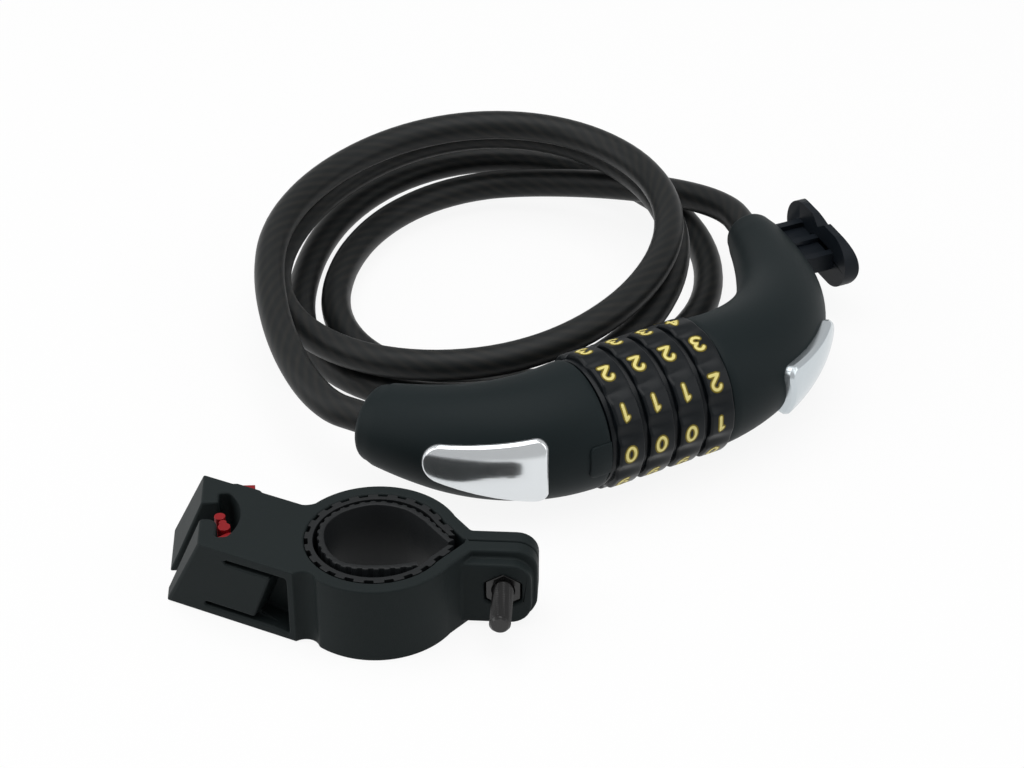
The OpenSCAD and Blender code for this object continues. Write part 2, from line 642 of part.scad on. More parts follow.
module bracket_body() color("#262b2e") difference() {
    union() {
        // ring and receiver, cut to height as one
        intersection() {
            union() {
                translate([0, 0, -1]) pointed(ring_r, bracket_h + 2);
                receiver_block();
                rim_of_button();
                wall_fillet();
            }
            bracket_slab();
        }
        on_ears() ear(ear_t, bracket_h, 1);
        on_ears() ear(ear_t, bracket_h, -1);
        on_ears() ear(boss_t, boss_top, -1, boss_inset);
    }
    translate([0, 0, -1]) pointed(bore_r, bracket_h + 2);
    on_ears() translate([bore_r, split_y - ear_gap / 2, -1]) cube([2 * ring_r, ear_gap, bracket_h + 2]);
    translate([0, 0, -1]) linear_extrude(bracket_h + 2) {
        cavity_outline();
        slot_outline();
    }
    latch_pocket();
    tongue_slots();
    corner_groove();
    on_ears() translate([bolt_reach, far_face + 1, bolt_z]) rotate([90, 0, 0])
        cylinder(r = bolt_r + 0.3, h = far_face - near_face + 2);
    on_ears() translate([bolt_reach, near_face + nut_deep + nut_t + 0.1, bolt_z])
        nut_prism(nut_play, nut_deep + nut_t + 1);
}
rib_count = 22;
rib_h = 0.9;
rib_w = 2.4;
module strip_gap(r, half) on_ears() translate([0, 0, -1]) linear_extrude(bracket_h + 2)
    polygon([[0, 0], [2 * r * cos(half), 2 * r * sin(half)], [2 * r, 0], [2 * r * cos(half), -2 * r * sin(half)]]);
module clamp_liner() color("#1a1c1e") difference() {
    intersection() {
        union() {
            translate([0, 0, -1]) pointed_ring(bore_r - rib_h, liner_r, bracket_h + 2);
            translate([0, 0, -2]) intersection() {
                pointed_ring(bore_r - fit, liner_r + 0.3, bracket_h + 4);
                for (k = [1 : rib_count - 1]) rotate([0, 0, ear_angle + 360 * k / rib_count])
                    translate([0, -rib_w / 2, -1]) cube([2 * bore_r, rib_w, bracket_h + 6]);
            }
        }
        bracket_slab();
    }
    strip_gap(bore_r, 6);
}
module liner_insert() color("#1a1c1e") difference() {
    ring(liner_r - fit, tube_r, bracket_h);
    strip_gap(bore_r, 24);
}
bolt_head_r = 4.4;
bolt_head_h = 4;
bolt_tip = 18;
bolt_socket_r = 2.3;
bolt_socket_h = 2.2;
module clamp_bolt() color("#2b2d2f") on_ears() translate([bolt_reach, far_face, bolt_z]) rotate([90, 0, 0]) {
    cylinder(r = bolt_r, h = far_face + bolt_tip);
    translate([0, 0, -bolt_head_h]) difference() {
        cylinder(r = bolt_head_r, h = bolt_head_h);
        translate([0, 0, -1]) cylinder(r = bolt_socket_r, h = bolt_socket_h + 1, $fn = 6);
    }
}
module clamp_nut() color("#2b2d2f")
    on_ears() translate([bolt_reach, near_face + nut_deep + nut_t, bolt_z]) difference() {
        nut_prism(0, nut_t);
        rotate([90, 0, 0]) translate([0, 0, -1]) cylinder(r = bolt_r + 0.02, h = nut_t + 2);
    }
module release_latch() color("#a5161b") {
    translate([arm_x, hook_near, latch_z]) cube([arm_w, arm_end - hook_near, latch_h]);
    translate([stem_x - stem_w / 2, arm_end - stem_root, stem_z])
        cube([stem_w, button_end - arm_end + stem_root, stem_h]);
    translate([0, 0, latch_z]) linear_extrude(latch_h)
        polygon([[cavity_x + 0.3, hook_near], [arm_x + 0.5, hook_near], [arm_x + 0.5, hook_tip],
            [cavity_x + 2.6, hook_tip], [cavity_x + 0.3, hook_tip - 1.6]]);
}
spring_near = pocket_near - spring_bore;
spring_inset = spring_wire_r + 0.1;
spring_path = [for (k = [0 : spring_curls * 8]) [arm_mid + spring_r * cos(45 * k),
    spring_near + spring_inset + (hook_near - spring_near - 2 * spring_inset) * k / (spring_curls * 8),
    latch_z + latch_h / 2 + spring_r * sin(45 * k)]];
module latch_spring() color("#9aa0a4") tube(spring_path, spring_wire_r);

// Cable
// The winding: its radius and height at each quarter turn, from where the cable
// leaves the elbow's side to where it turns off to the plug
coil_x = 14;
coil_y = 80.5;
coil_mean = 53;
coil_oval = 2.4;
coil_oval_turn = 29;
coil_start = 60;
coil_in = [0, -12, -10.5, 9, 12.5, -2.5, 1.5, 0, 3, 3.5, -1.5, -2, -3, 3.5];
coil_z = [7.5, 5, 4.5, 5, 9.5, 4.5, 9, 17, 22.5, 14, 17.5, 26, 29, 23.5];
lead_straight = cable_d;
lead_in = [21, 15];
lead_out = [25, 15];
loop_rings = 24;
cable_sides = 6;

function key(v, i) = i < 0 ? 2 * v[0] - v[1] : i > len(v) - 1 ? 2 * v[len(v) - 1] - v[len(v) - 2] : v[i];
function smooth(v, u) = let(i = min(floor(u), len(v) - 2), f = u - i,
    a = key(v, i - 1), b = v[i], c = v[i + 1], d = key(v, i + 2))
    b + f / 2 * (c - a + f * (2 * a - 5 * b + 4 * c - d + f * (3 * (b - c) + d - a)));
function coil_point(u) = let(a = coil_start + 90 * u,
    r = coil_mean + coil_oval * cos(2 * (a - coil_oval_turn)) + smooth(coil_in, u))
    [coil_x + r * cos(a), coil_y + r * sin(a), smooth(coil_z, u)];
function unit(v) = v / norm(v);
function bezier(a, b, c, d, t) =
    pow(1 - t, 3) * a + 3 * pow(1 - t, 2) * t * b + 3 * (1 - t) * t * t * c + pow(t, 3) * d;
coil_quarters = len(coil_in) - 1;
coil_first = coil_point(0);
coil_last = coil_point(coil_quarters);
first_way = unit(coil_point(0.01) - coil_first);
last_way = unit(coil_last - coil_point(coil_quarters - 0.01));
elbow_lead = elbow_end + elbow_out * lead_straight;
plug_lead = plug_end + plug_out * lead_straight;
lead_steps = 10;
// The lead runs from the elbow to a quarter turn into the winding, then the coil takes over
lead_quarters = 1;
join = coil_point(lead_quarters);
join_way = unit(coil_point(lead_quarters + 0.01) - join);
lead_path = concat(
    [elbow_end - elbow_out * (cable_seat - eps)],
    [for (k = [0 : lead_steps - 1]) bezier(elbow_lead, elbow_lead + elbow_out * lead_in[0],
        coil_first - first_way * lead_in[1], coil_first, k / lead_steps)],
    [for (k = [0 : lead_quarters * loop_rings / 4]) coil_point(k * 4 / loop_rings)]);
coil_path = concat(
    [for (k = [lead_quarters * loop_rings / 4 : coil_quarters * loop_rings / 4])
        coil_point(k * 4 / loop_rings)],
    [for (k = [1 : lead_steps]) bezier(coil_last, coil_last + last_way * lead_out[0],
        plug_lead + plug_out * lead_out[1], plug_lead, k / lead_steps)],
    [plug_end - plug_out * (cable_seat - eps)]);

// A round tube swept along points, without twist
function side_of(way, last) = unit(last - way * (last * way));
function ways(p) = [for (i = [0 : len(p) - 1])
    unit(p[min(i + 1, len(p) - 1)] - p[max(i - 1, 0)])];
function sides(w, i, s) = i >= len(w) ? [] : let(n = side_of(w[i], s)) concat([n], sides(w, i + 1, n));
module tube(p, r, first, last) {
    mid = ways(p);
    w = [for (i = [0 : len(p) - 1]) i == 0 && !is_undef(first) ? first
        : i == len(p) - 1 && !is_undef(last) ? last : mid[i]];
    s = sides(w, 0, abs(w[0].z) < 0.9 ? [0, 0, 1] : [0, 1, 0]);
    n = cable_sides;
    points = [for (i = [0 : len(p) - 1]) for (k = [0 : n - 1])
        p[i] + r * (s[i] * cos(360 * k / n) + cross(w[i], s[i]) * sin(360 * k / n))];
    faces = concat([[for (k = [0 : n - 1]) k]],
        [for (i = [0 : len(p) - 2]) for (k = [0 : n - 1]) let(m = (k + 1) % n)
            each [[i * n + k, (i + 1) * n + m, i * n + m], [i * n + k, (i + 1) * n + k, (i + 1) * n + m]]],
        [[for (k = [n - 1 : -1 : 0]) (len(p) - 1) * n + k]]);
    polyhedron(points, faces, convexity = 20);
}
module cable_coil() color("#2e3234") in_lock() tube(coil_path, cable_d / 2, join_way, -plug_out);
module cable_lead() color("#2e3234") in_lock() tube(lead_path, cable_d / 2, elbow_out, join_way);

// Least gap from the cable to itself, between points more than far_apart along it
far_apart = 60;
whole_path = concat([for (i = [0 : len(lead_path) - 2]) lead_path[i]], coil_path);
function run(p, i = 0, d = 0) = i >= len(p) ? [] :
    let(e = i == 0 ? 0 : d + norm(p[i] - p[i - 1])) concat([e], run(p, i + 1, e));
path_run = run(whole_path);
least = min([for (i = [0 : len(whole_path) - 1]) for (j = [i + 1 : 1 : len(whole_path) - 1])
    if (path_run[j] - path_run[i] > far_apart) norm(whole_path[i] - whole_path[j])]);
echo(cable_length = path_run[len(path_run) - 1], least_gap = least - cable_d);

elbow_housing();
elbow_plate();
lock_core();
core_pin();
detent_spring();
dial_washer();
mount_stud();
elbow_ferrule();
elbow_ferrule_pin();
cable_coil();
cable_lead();
plug_housing();
plug_plate();
shackle_pin();
shackle_cross_pin();
plug_ferrule();
plug_ferrule_pin();
dial(1);  // dial_1
dial(2);  // dial_2
dial(3);  // dial_3
dial(4);  // dial_4
clutch_ring(1);  // clutch_ring_1
clutch_ring(2);  // clutch_ring_2
clutch_ring(3);  // clutch_ring_3
clutch_ring(4);  // clutch_ring_4
bracket_body();
clamp_liner();
liner_insert();
clamp_bolt();
clamp_nut();
release_latch();
latch_spring();
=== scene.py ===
import json
from math import acos, atan2, cos, degrees, pi, radians, sin, sqrt
import bpy
import bmesh
from mathutils import Matrix, Vector
from mathutils.bvhtree import BVHTree
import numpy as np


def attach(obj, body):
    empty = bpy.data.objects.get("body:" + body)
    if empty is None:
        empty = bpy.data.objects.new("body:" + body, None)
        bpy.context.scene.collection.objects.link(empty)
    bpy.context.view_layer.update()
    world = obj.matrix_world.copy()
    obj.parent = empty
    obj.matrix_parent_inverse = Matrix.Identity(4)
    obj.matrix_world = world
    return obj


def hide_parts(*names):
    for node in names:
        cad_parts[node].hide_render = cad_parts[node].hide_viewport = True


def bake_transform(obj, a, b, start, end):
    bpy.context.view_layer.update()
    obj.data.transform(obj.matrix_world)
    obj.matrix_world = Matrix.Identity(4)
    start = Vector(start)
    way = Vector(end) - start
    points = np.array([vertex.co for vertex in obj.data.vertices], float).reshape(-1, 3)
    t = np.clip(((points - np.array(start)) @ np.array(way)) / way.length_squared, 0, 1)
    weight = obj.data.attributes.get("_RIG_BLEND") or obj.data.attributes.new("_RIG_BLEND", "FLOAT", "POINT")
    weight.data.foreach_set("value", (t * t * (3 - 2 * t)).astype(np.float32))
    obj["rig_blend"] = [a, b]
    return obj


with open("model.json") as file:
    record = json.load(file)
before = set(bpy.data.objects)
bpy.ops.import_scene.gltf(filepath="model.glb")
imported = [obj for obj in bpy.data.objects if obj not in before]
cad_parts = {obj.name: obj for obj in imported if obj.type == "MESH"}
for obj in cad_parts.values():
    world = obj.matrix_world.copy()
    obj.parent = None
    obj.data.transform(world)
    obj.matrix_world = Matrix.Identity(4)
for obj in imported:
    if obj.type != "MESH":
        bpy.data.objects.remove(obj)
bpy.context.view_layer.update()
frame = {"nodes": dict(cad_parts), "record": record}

# Shapes are worked out in millimetres in the lock's own frame (X along the barrel to the elbow,
# Y away, origin on the ground under the first dial) and set down in metres at the end.
layout = {"lockX": 53, "lockY": 48, "lockTurn": 27, "axisZ": 17.4}
lockPlace = (Matrix.Scale(0.001, 4) @ Matrix.Translation((layout["lockX"], layout["lockY"], 0))
             @ Matrix.Rotation(radians(layout["lockTurn"]), 4, "Z"))
scene = bpy.context.scene

# ---- camera
view = {"azimuth": -2.7, "elevation": 34.4, "distance": 0.655, "lens": 87.9, "sensor": 36, "near": 0.01,
        "target": (0.03515, 0.09053, -0.0009)}


def placeCamera():
    a, e = radians(view["azimuth"]), radians(view["elevation"])
    back = Vector((sin(a) * cos(e), -cos(a) * cos(e), sin(e)))
    data = bpy.data.cameras.new("camera")
    data.lens = view["lens"]
    data.sensor_width = view["sensor"]
    data.clip_start = view["near"]
    camera = bpy.data.objects.new("camera", data)
    scene.collection.objects.link(camera)
    camera.location = Vector(view["target"]) + back * view["distance"]
    camera.rotation_euler = back.to_track_quat("Z", "Y").to_euler()
    scene.camera = camera


placeCamera()
print("camera placed")


# ---- shaping helpers
mergeGap = 1e-4


def heading(degrees):
    return Vector((cos(radians(degrees)), sin(radians(degrees)), 0))


def ringAt(point, way, r, rUp=None, up=Vector((0, 0, 1))):
    # where a unit circle goes whose plane is square to way; rUp flattens it
    way = way.normalized()
    side = way.cross(up).normalized()
    top = side.cross(way)
    m = Matrix.Identity(4)
    for row in range(3):
        m[row][0] = side[row] * r
        m[row][1] = top[row] * (r if rUp is None else rUp)
        m[row][2] = way[row] * r
        m[row][3] = point[row]
    return m


def sweepRings(bm, rings, sides, capFirst=True, capLast=True):
    # a circle carried from ring to ring
    made = bmesh.ops.create_circle(bm, cap_ends=False, segments=sides, radius=1, matrix=rings[0])
    first = last = list({e for v in made["verts"] for e in v.link_edges})
    for before, after in zip(rings, rings[1:]):
        out = bmesh.ops.extrude_edge_only(bm, edges=last)["geom"]
        last = [g for g in out if isinstance(g, bmesh.types.BMEdge) and len(g.link_faces) == 1]
        verts = [g for g in out if isinstance(g, bmesh.types.BMVert)]
        bmesh.ops.transform(bm, matrix=after @ before.inverted(), verts=verts)
    if capFirst:
        bmesh.ops.holes_fill(bm, edges=first)
    if capLast:
        bmesh.ops.holes_fill(bm, edges=last)


def joinRows(bm, last, row):
    # quads between two closed rows of as many points
    for i in range(len(row)):
        k = (i + 1) % len(row)
        bm.faces.new((last[i], last[k], row[k], row[i]))


def makePiece(bm, name, place, material, smoothAngle, outward=True):
    bmesh.ops.remove_doubles(bm, verts=bm.verts[:], dist=mergeGap)
    if outward:
        bmesh.ops.recalc_face_normals(bm, faces=bm.faces[:])
    bmesh.ops.transform(bm, matrix=place, verts=bm.verts[:])
    mesh = bpy.data.meshes.new(name)
    bm.to_mesh(mesh)
    bm.free()
    for p in mesh.polygons:
        p.use_smooth = True
    if smoothAngle:
        mesh.set_sharp_from_angle(angle=radians(smoothAngle))
    piece = bpy.data.objects.new(name, mesh)
    scene.collection.objects.link(piece)
    mesh.materials.append(material)
    return piece


def addModifier(piece, kind, **settings):
    m = piece.modifiers.new(kind.lower(), kind)
    for key, value in settings.items():
        setattr(m, key, value)


# ---- materials
def newGroup(name, ins, outs):
    tree = bpy.data.node_groups.new(name, "ShaderNodeTree")
    for socket, kind, value in ins:
        s = tree.interface.new_socket(socket, in_out="INPUT", socket_type=kind)
        s.default_value = value
    for socket, kind in outs:
        tree.interface.new_socket(socket, in_out="OUTPUT", socket_type=kind)
    return tree, tree.nodes.new("NodeGroupInput"), tree.nodes.new("NodeGroupOutput")


def link(tree, *pairs):
    for a, b in pairs:
        tree.links.new(a, b)


def mathNode(tree, operation, second=None):
    node = tree.nodes.new("ShaderNodeMath")
    node.operation = operation
    if second is not None:
        node.inputs[1].default_value = second
    return node


skin = {"grainDetail": 3, "driftScale": 45, "driftDetail": 4, "relief": 0.00008}
drawn = {"stretch": 0.04, "detail": 4, "relief": 0.00003}


def buildSkinGroup():
    # moulded skin: a fine grain in relief, and a slow drift of tone and gloss
    tree, start, end = newGroup("mouldedSkin", [
        ("Tone", "NodeSocketColor", (0.02, 0.02, 0.02, 1)),
        ("Second Tone", "NodeSocketColor", (0.03, 0.03, 0.03, 1)),
        ("Grain Scale", "NodeSocketFloat", 3000), ("Grain Depth", "NodeSocketFloat", 0.1),
        ("Gloss Low", "NodeSocketFloat", 0.45), ("Gloss High", "NodeSocketFloat", 0.55)],
        [("Color", "NodeSocketColor"), ("Roughness", "NodeSocketFloat"), ("Normal", "NodeSocketVector")])
    n = tree.nodes
    coord = n.new("ShaderNodeTexCoord")
    grain = n.new("ShaderNodeTexNoise")
    grain.inputs["Detail"].default_value = skin["grainDetail"]
    drift = n.new("ShaderNodeTexNoise")
    drift.inputs["Scale"].default_value = skin["driftScale"]
    drift.inputs["Detail"].default_value = skin["driftDetail"]
    bump = n.new("ShaderNodeBump")
    bump.inputs["Distance"].default_value = skin["relief"]
    mix = n.new("ShaderNodeMix")
    mix.data_type = "RGBA"
    spread = n.new("ShaderNodeMapRange")
    link(tree, (coord.outputs["Object"], grain.inputs["Vector"]),
         (coord.outputs["Object"], drift.inputs["Vector"]),
         (start.outputs["Grain Scale"], grain.inputs["Scale"]),
         (start.outputs["Grain Depth"], bump.inputs["Strength"]),
         (grain.outputs["Fac"], bump.inputs["Height"]), (bump.outputs["Normal"], end.inputs["Normal"]),
         (drift.outputs["Fac"], mix.inputs["Factor"]), (start.outputs["Tone"], mix.inputs["A"]),
         (start.outputs["Second Tone"], mix.inputs["B"]), (mix.outputs["Result"], end.inputs["Color"]),
         (drift.outputs["Fac"], spread.inputs["Value"]),
         (start.outputs["Gloss Low"], spread.inputs["To Min"]),
         (start.outputs["Gloss High"], spread.inputs["To Max"]),
         (spread.outputs["Result"], end.inputs["Roughness"]))
    return tree


def buildMetalGroup():
    # turned or drawn metal: fine lines along X, in relief and in gloss
    tree, start, end = newGroup("drawnMetal", [
        ("Line Scale", "NodeSocketFloat", 900), ("Line Depth", "NodeSocketFloat", 0.1),
        ("Gloss Low", "NodeSocketFloat", 0.2), ("Gloss High", "NodeSocketFloat", 0.35)],
        [("Roughness", "NodeSocketFloat"), ("Normal", "NodeSocketVector")])
    n = tree.nodes
    coord = n.new("ShaderNodeTexCoord")
    turn = n.new("ShaderNodeMapping")
    turn.inputs["Rotation"].default_value = (0, 0, radians(-layout["lockTurn"]))
    turn.inputs["Scale"].default_value = (drawn["stretch"], 1, 1)
    lines = n.new("ShaderNodeTexNoise")
    lines.inputs["Detail"].default_value = drawn["detail"]
    bump = n.new("ShaderNodeBump")
    bump.inputs["Distance"].default_value = drawn["relief"]
    spread = n.new("ShaderNodeMapRange")
    link(tree, (coord.outputs["Object"], turn.inputs["Vector"]),
         (turn.outputs["Vector"], lines.inputs["Vector"]),
         (start.outputs["Line Scale"], lines.inputs["Scale"]),
         (start.outputs["Line Depth"], bump.inputs["Strength"]),
         (lines.outputs["Fac"], bump.inputs["Height"]), (bump.outputs["Normal"], end.inputs["Normal"]),
         (lines.outputs["Fac"], spread.inputs["Value"]),
         (start.outputs["Gloss Low"], spread.inputs["To Min"]),
         (start.outputs["Gloss High"], spread.inputs["To Max"]),
         (spread.outputs["Result"], end.inputs["Roughness"]))
    return tree


skinGroup = buildSkinGroup()
metalGroup = buildMetalGroup()


def emptyMaterial(name):
    m = bpy.data.materials.new(name)
    m.use_nodes = True
    return m, m.node_tree, m.node_tree.nodes["Principled BSDF"]


def mouldedMaterial(name, look):
    m, tree, shader = emptyMaterial(name)
    g = tree.nodes.new("ShaderNodeGroup")
    g.node_tree = skinGroup
    g.inputs["Tone"].default_value = (*look["tone"], 1)
    g.inputs["Second Tone"].default_value = (*look["second"], 1)
    g.inputs["Grain Scale"].default_value = look["grain"]
    g.inputs["Grain Depth"].default_value = look["depth"]
    g.inputs["Gloss Low"].default_value, g.inputs["Gloss High"].default_value = look["rough"]
    shader.inputs["Specular IOR Level"].default_value = look["specular"]
    link(tree, (g.outputs["Color"], shader.inputs["Base Color"]),
         (g.outputs["Roughness"], shader.inputs["Roughness"]), (g.outputs["Normal"], shader.inputs["Normal"]))
    return m


def metalMaterial(name, look):
    m, tree, shader = emptyMaterial(name)
    g = tree.nodes.new("ShaderNodeGroup")
    g.node_tree = metalGroup
    g.inputs["Line Scale"].default_value = look["lines"]
    g.inputs["Line Depth"].default_value = look["depth"]
    g.inputs["Gloss Low"].default_value, g.inputs["Gloss High"].default_value = look["rough"]
    shader.inputs["Base Color"].default_value = (*look["tone"], 1)
    shader.inputs["Metallic"].default_value = look["metal"]
    link(tree, (g.outputs["Roughness"], shader.inputs["Roughness"]),
         (g.outputs["Normal"], shader.inputs["Normal"]))
    return m


# rough: the smoothest and the roughest spot of one material
looks = {
    "softBlack": {"tone": (0.0070, 0.0115, 0.0125), "second": (0.0095, 0.0145, 0.0160),
                  "grain": 2600, "depth": 0.25, "rough": (0.46, 0.56), "specular": 0.1},
    "dialBlack": {"tone": (0.0040, 0.0058, 0.0072), "second": (0.0055, 0.0074, 0.0092),
                  "grain": 1800, "depth": 0.1, "rough": (0.26, 0.36), "specular": 0.16},
    "studBlack": {"tone": (0.0060, 0.0085, 0.0120), "second": (0.0090, 0.0120, 0.0160),
                  "grain": 2200, "depth": 0.25, "rough": (0.38, 0.5), "specular": 0.12},
    "bracketBlack": {"tone": (0.0095, 0.0135, 0.0140), "second": (0.0125, 0.0170, 0.0175),
                     "grain": 2400, "depth": 0.3, "rough": (0.5, 0.62), "specular": 0.1},
    "linerBlack": {"tone": (0.0060, 0.0070, 0.0080), "second": (0.0110, 0.0125, 0.0135),
                   "grain": 1500, "depth": 0.3, "rough": (0.4, 0.55), "specular": 0.2},
    "blackOxide": {"tone": (0.0060, 0.0060, 0.0065), "second": (0.0100, 0.0095, 0.0095),
                   "grain": 1600, "depth": 0.1, "rough": (0.16, 0.24), "specular": 0.5},
    "latchRed": {"tone": (0.21, 0.004, 0.007), "second": (0.26, 0.006, 0.009),
                 "grain": 2000, "depth": 0.12, "rough": (0.34, 0.42), "specular": 0.2},
    "digitYellow": {"tone": (0.72, 0.62, 0.19), "second": (0.80, 0.70, 0.26),
                    "grain": 2500, "depth": 0.2, "rough": (0.45, 0.6), "specular": 0.5},
    # the dark olive band round each digit is painted shade, standing for the shade in the recessed edge round the
    # digit
    "digitEdgeShade": {"tone": (0.15, 0.115, 0.006), "second": (0.18, 0.135, 0.008),
                 "grain": 2500, "depth": 0.2, "rough": (0.5, 0.6), "specular": 0.2},
}
metals = {
    "satinChrome": {"tone": (0.76, 0.79, 0.81), "lines": 700, "depth": 0.05, "rough": (0.13, 0.2),
                    "metal": 0.9},
    "brushedChrome": {"tone": (0.59, 0.64, 0.67), "lines": 700, "depth": 0.08, "rough": (0.16, 0.24),
                      "metal": 0.85},
    "turnedSteel": {"tone": (0.52, 0.53, 0.54), "lines": 1100, "depth": 0.3, "rough": (0.22, 0.4), "metal": 1},
    "springWire": {"tone": (0.6, 0.6, 0.61), "lines": 1500, "depth": 0.1, "rough": (0.15, 0.25), "metal": 1},
    "ringBrass": {"tone": (0.72, 0.52, 0.22), "lines": 1100, "depth": 0.2, "rough": (0.2, 0.35), "metal": 1},
}
sheath = {"tone": (0.0085, 0.0100, 0.0105), "strand": (0.0210, 0.0200, 0.0180), "strands": 9,
          "strandFrom": -0.6, "cloud": 160, "relief": 0.00008, "depth": 0.07, "rough": (0.36, 0.48),
          "specular": 0.17}
material = {k: mouldedMaterial(k, v) for k, v in looks.items()}
material.update({k: metalMaterial(k, v) for k, v in metals.items()})


def buildCableMaterial():
    # smoky vinyl over a laid strand; the UV's U runs round the cable and V along it, in turns of the lay
    m, tree, shader = emptyMaterial("cableSheath")
    n = tree.nodes
    coord = n.new("ShaderNodeTexCoord")
    split = n.new("ShaderNodeSeparateXYZ")
    lay = mathNode(tree, "ADD")
    many = mathNode(tree, "MULTIPLY", 2 * pi * sheath["strands"])
    wave = mathNode(tree, "SINE")
    mask = n.new("ShaderNodeMapRange")
    mask.inputs["From Min"].default_value, mask.inputs["From Max"].default_value = sheath["strandFrom"], 1
    cloud = n.new("ShaderNodeTexNoise")
    cloud.inputs["Scale"].default_value = sheath["cloud"]
    soft = mathNode(tree, "MULTIPLY")
    mix = n.new("ShaderNodeMix")
    mix.data_type = "RGBA"
    mix.inputs["A"].default_value = (*sheath["tone"], 1)
    mix.inputs["B"].default_value = (*sheath["strand"], 1)
    rough = n.new("ShaderNodeMapRange")
    rough.inputs["To Min"].default_value, rough.inputs["To Max"].default_value = sheath["rough"]
    bump = n.new("ShaderNodeBump")
    bump.inputs["Distance"].default_value = sheath["relief"]
    bump.inputs["Strength"].default_value = sheath["depth"]
    shader.inputs["Specular IOR Level"].default_value = sheath["specular"]
    link(tree, (coord.outputs["UV"], split.inputs["Vector"]), (split.outputs["X"], lay.inputs[0]),
         (split.outputs["Y"], lay.inputs[1]), (lay.outputs[0], many.inputs[0]),
         (many.outputs[0], wave.inputs[0]), (wave.outputs[0], mask.inputs["Value"]),
         (coord.outputs["Object"], cloud.inputs["Vector"]), (mask.outputs["Result"], soft.inputs[0]),
         (cloud.outputs["Fac"], soft.inputs[1]), (soft.outputs[0], mix.inputs["Factor"]),
         (mix.outputs["Result"], shader.inputs["Base Color"]), (cloud.outputs["Fac"], rough.inputs["Value"]),
         (rough.outputs["Result"], shader.inputs["Roughness"]), (wave.outputs[0], bump.inputs["Height"]),
         (bump.outputs["Normal"], shader.inputs["Normal"]))
    return m


material["cableSheath"] = buildCableMaterial()
print("materials built:", len(material))

# ---- the two curved housings: axis, skin and rounding
plugForm = {"start": -4.5, "length": 53, "bends": [(180, 180, .06), (180, 135, .59), (135, 122, .35)],
            "r": 16.3, "tip": 9.7, "power": 1.45, "round": 2.5, "end": 122}
elbowForm = {"start": 30.3, "length": 82.5, "bends": [(0, 64, .64), (64, 78, .36)],
             "r": 16.5, "tip": 6.7, "power": 1.2, "round": 2.2, "end": 78}
housing = {"steps": 40, "sides": 96, "faceRound": 0.6, "faceSteps": 4, "endSteps": 6, "mouth": 4.35, "seat": 6,
           "mouthRound": [(1.2, 0), (0.35, 0.12), (0, 0.5)]}      # wider by, and how deep


def bendAt(form, t):
    for first, last, share in form["bends"]:
        if t <= share + 1e-9:
            return first + (last - first) * t / share
        t -= share
    return form["bends"][-1][1]


def skinRadius(form, t):
    return form["tip"] + (form["r"] - form["tip"]) * (1 - max(t, 0) ** form["power"])


def axisOf(form, steps):
    points = [Vector((form["start"], 0, layout["axisZ"]))]
    for i in range(steps):
        points.append(points[-1] + heading(bendAt(form, (i + 0.5) / steps)) * form["length"] / steps)
    return points


plugAxis = axisOf(plugForm, housing["steps"])
elbowAxis = axisOf(elbowForm, housing["steps"])
plugEnd, elbowEnd = plugAxis[-1], elbowAxis[-1]


def skinRings(form, axis):
    n = housing["steps"]
    near, far = housing["faceRound"], form["round"]
    face, end = heading(form["bends"][0][0]), heading(form["end"])
    rings = []
    for k in range(housing["faceSteps"]):
        q = pi / 2 * k / housing["faceSteps"]
        rings.append(ringAt(axis[0] + face * near * (1 - cos(q)), face, form["r"] - near + near * sin(q)))
    for i in range(1, n - 2):
        rings.append(ringAt(axis[i], heading(bendAt(form, i / n)), skinRadius(form, i / n)))
    for k in range(housing["endSteps"], -1, -1):
        q = pi / 2 * k / housing["endSteps"]
        rings.append(ringAt(axis[n] - end * far * (1 - cos(q)), end, form["tip"] - far + far * sin(q)))
    return rings


# ---- cable: the same route as the solids
route = {"centre": (14, 80.5), "mean": 53, "oval": 2.4, "ovalTurn": 29, "start": 60, "straight": 8,
         "leadIn": (21, 15), "leadOut": (25, 15), "leadQuarters": 1, "radius": 4, "seatGap": 0.1, "nudge": 0.01,
         "inward": [0, -12, -10.5, 9, 12.5, -2.5, 1.5, 0, 3, 3.5, -1.5, -2, -3, 3.5],
         "height": [7.5, 5, 4.5, 5, 9.5, 4.5, 9, 17, 22.5, 14, 17.5, 26, 29, 23.5],
         "ringsPerLoop": 96, "leadSteps": 40, "sides": 24, "layLength": 46}


def eased(values, u):
    i = min(int(u), len(values) - 2)
    f = u - i
    a = values[i - 1] if i > 0 else 2 * values[0] - values[1]
    b, c = values[i], values[i + 1]
    d = values[i + 2] if i + 2 < len(values) else 2 * values[-1] - values[-2]
    return b + f / 2 * (c - a + f * (2 * a - 5 * b + 4 * c - d + f * (3 * (b - c) + d - a)))


def coilPoint(u):
    a = radians(route["start"] + 90 * u)
    r = route["mean"] + route["oval"] * cos(2 * (a - radians(route["ovalTurn"]))) + eased(route["inward"], u)
    x, y = route["centre"]
    return Vector((x + r * cos(a), y + r * sin(a), eased(route["height"], u)))


def bezierAt(a, b, c, d, t):
    return (1 - t) ** 3 * a + 3 * (1 - t) ** 2 * t * b + 3 * (1 - t) * t * t * c + t ** 3 * d


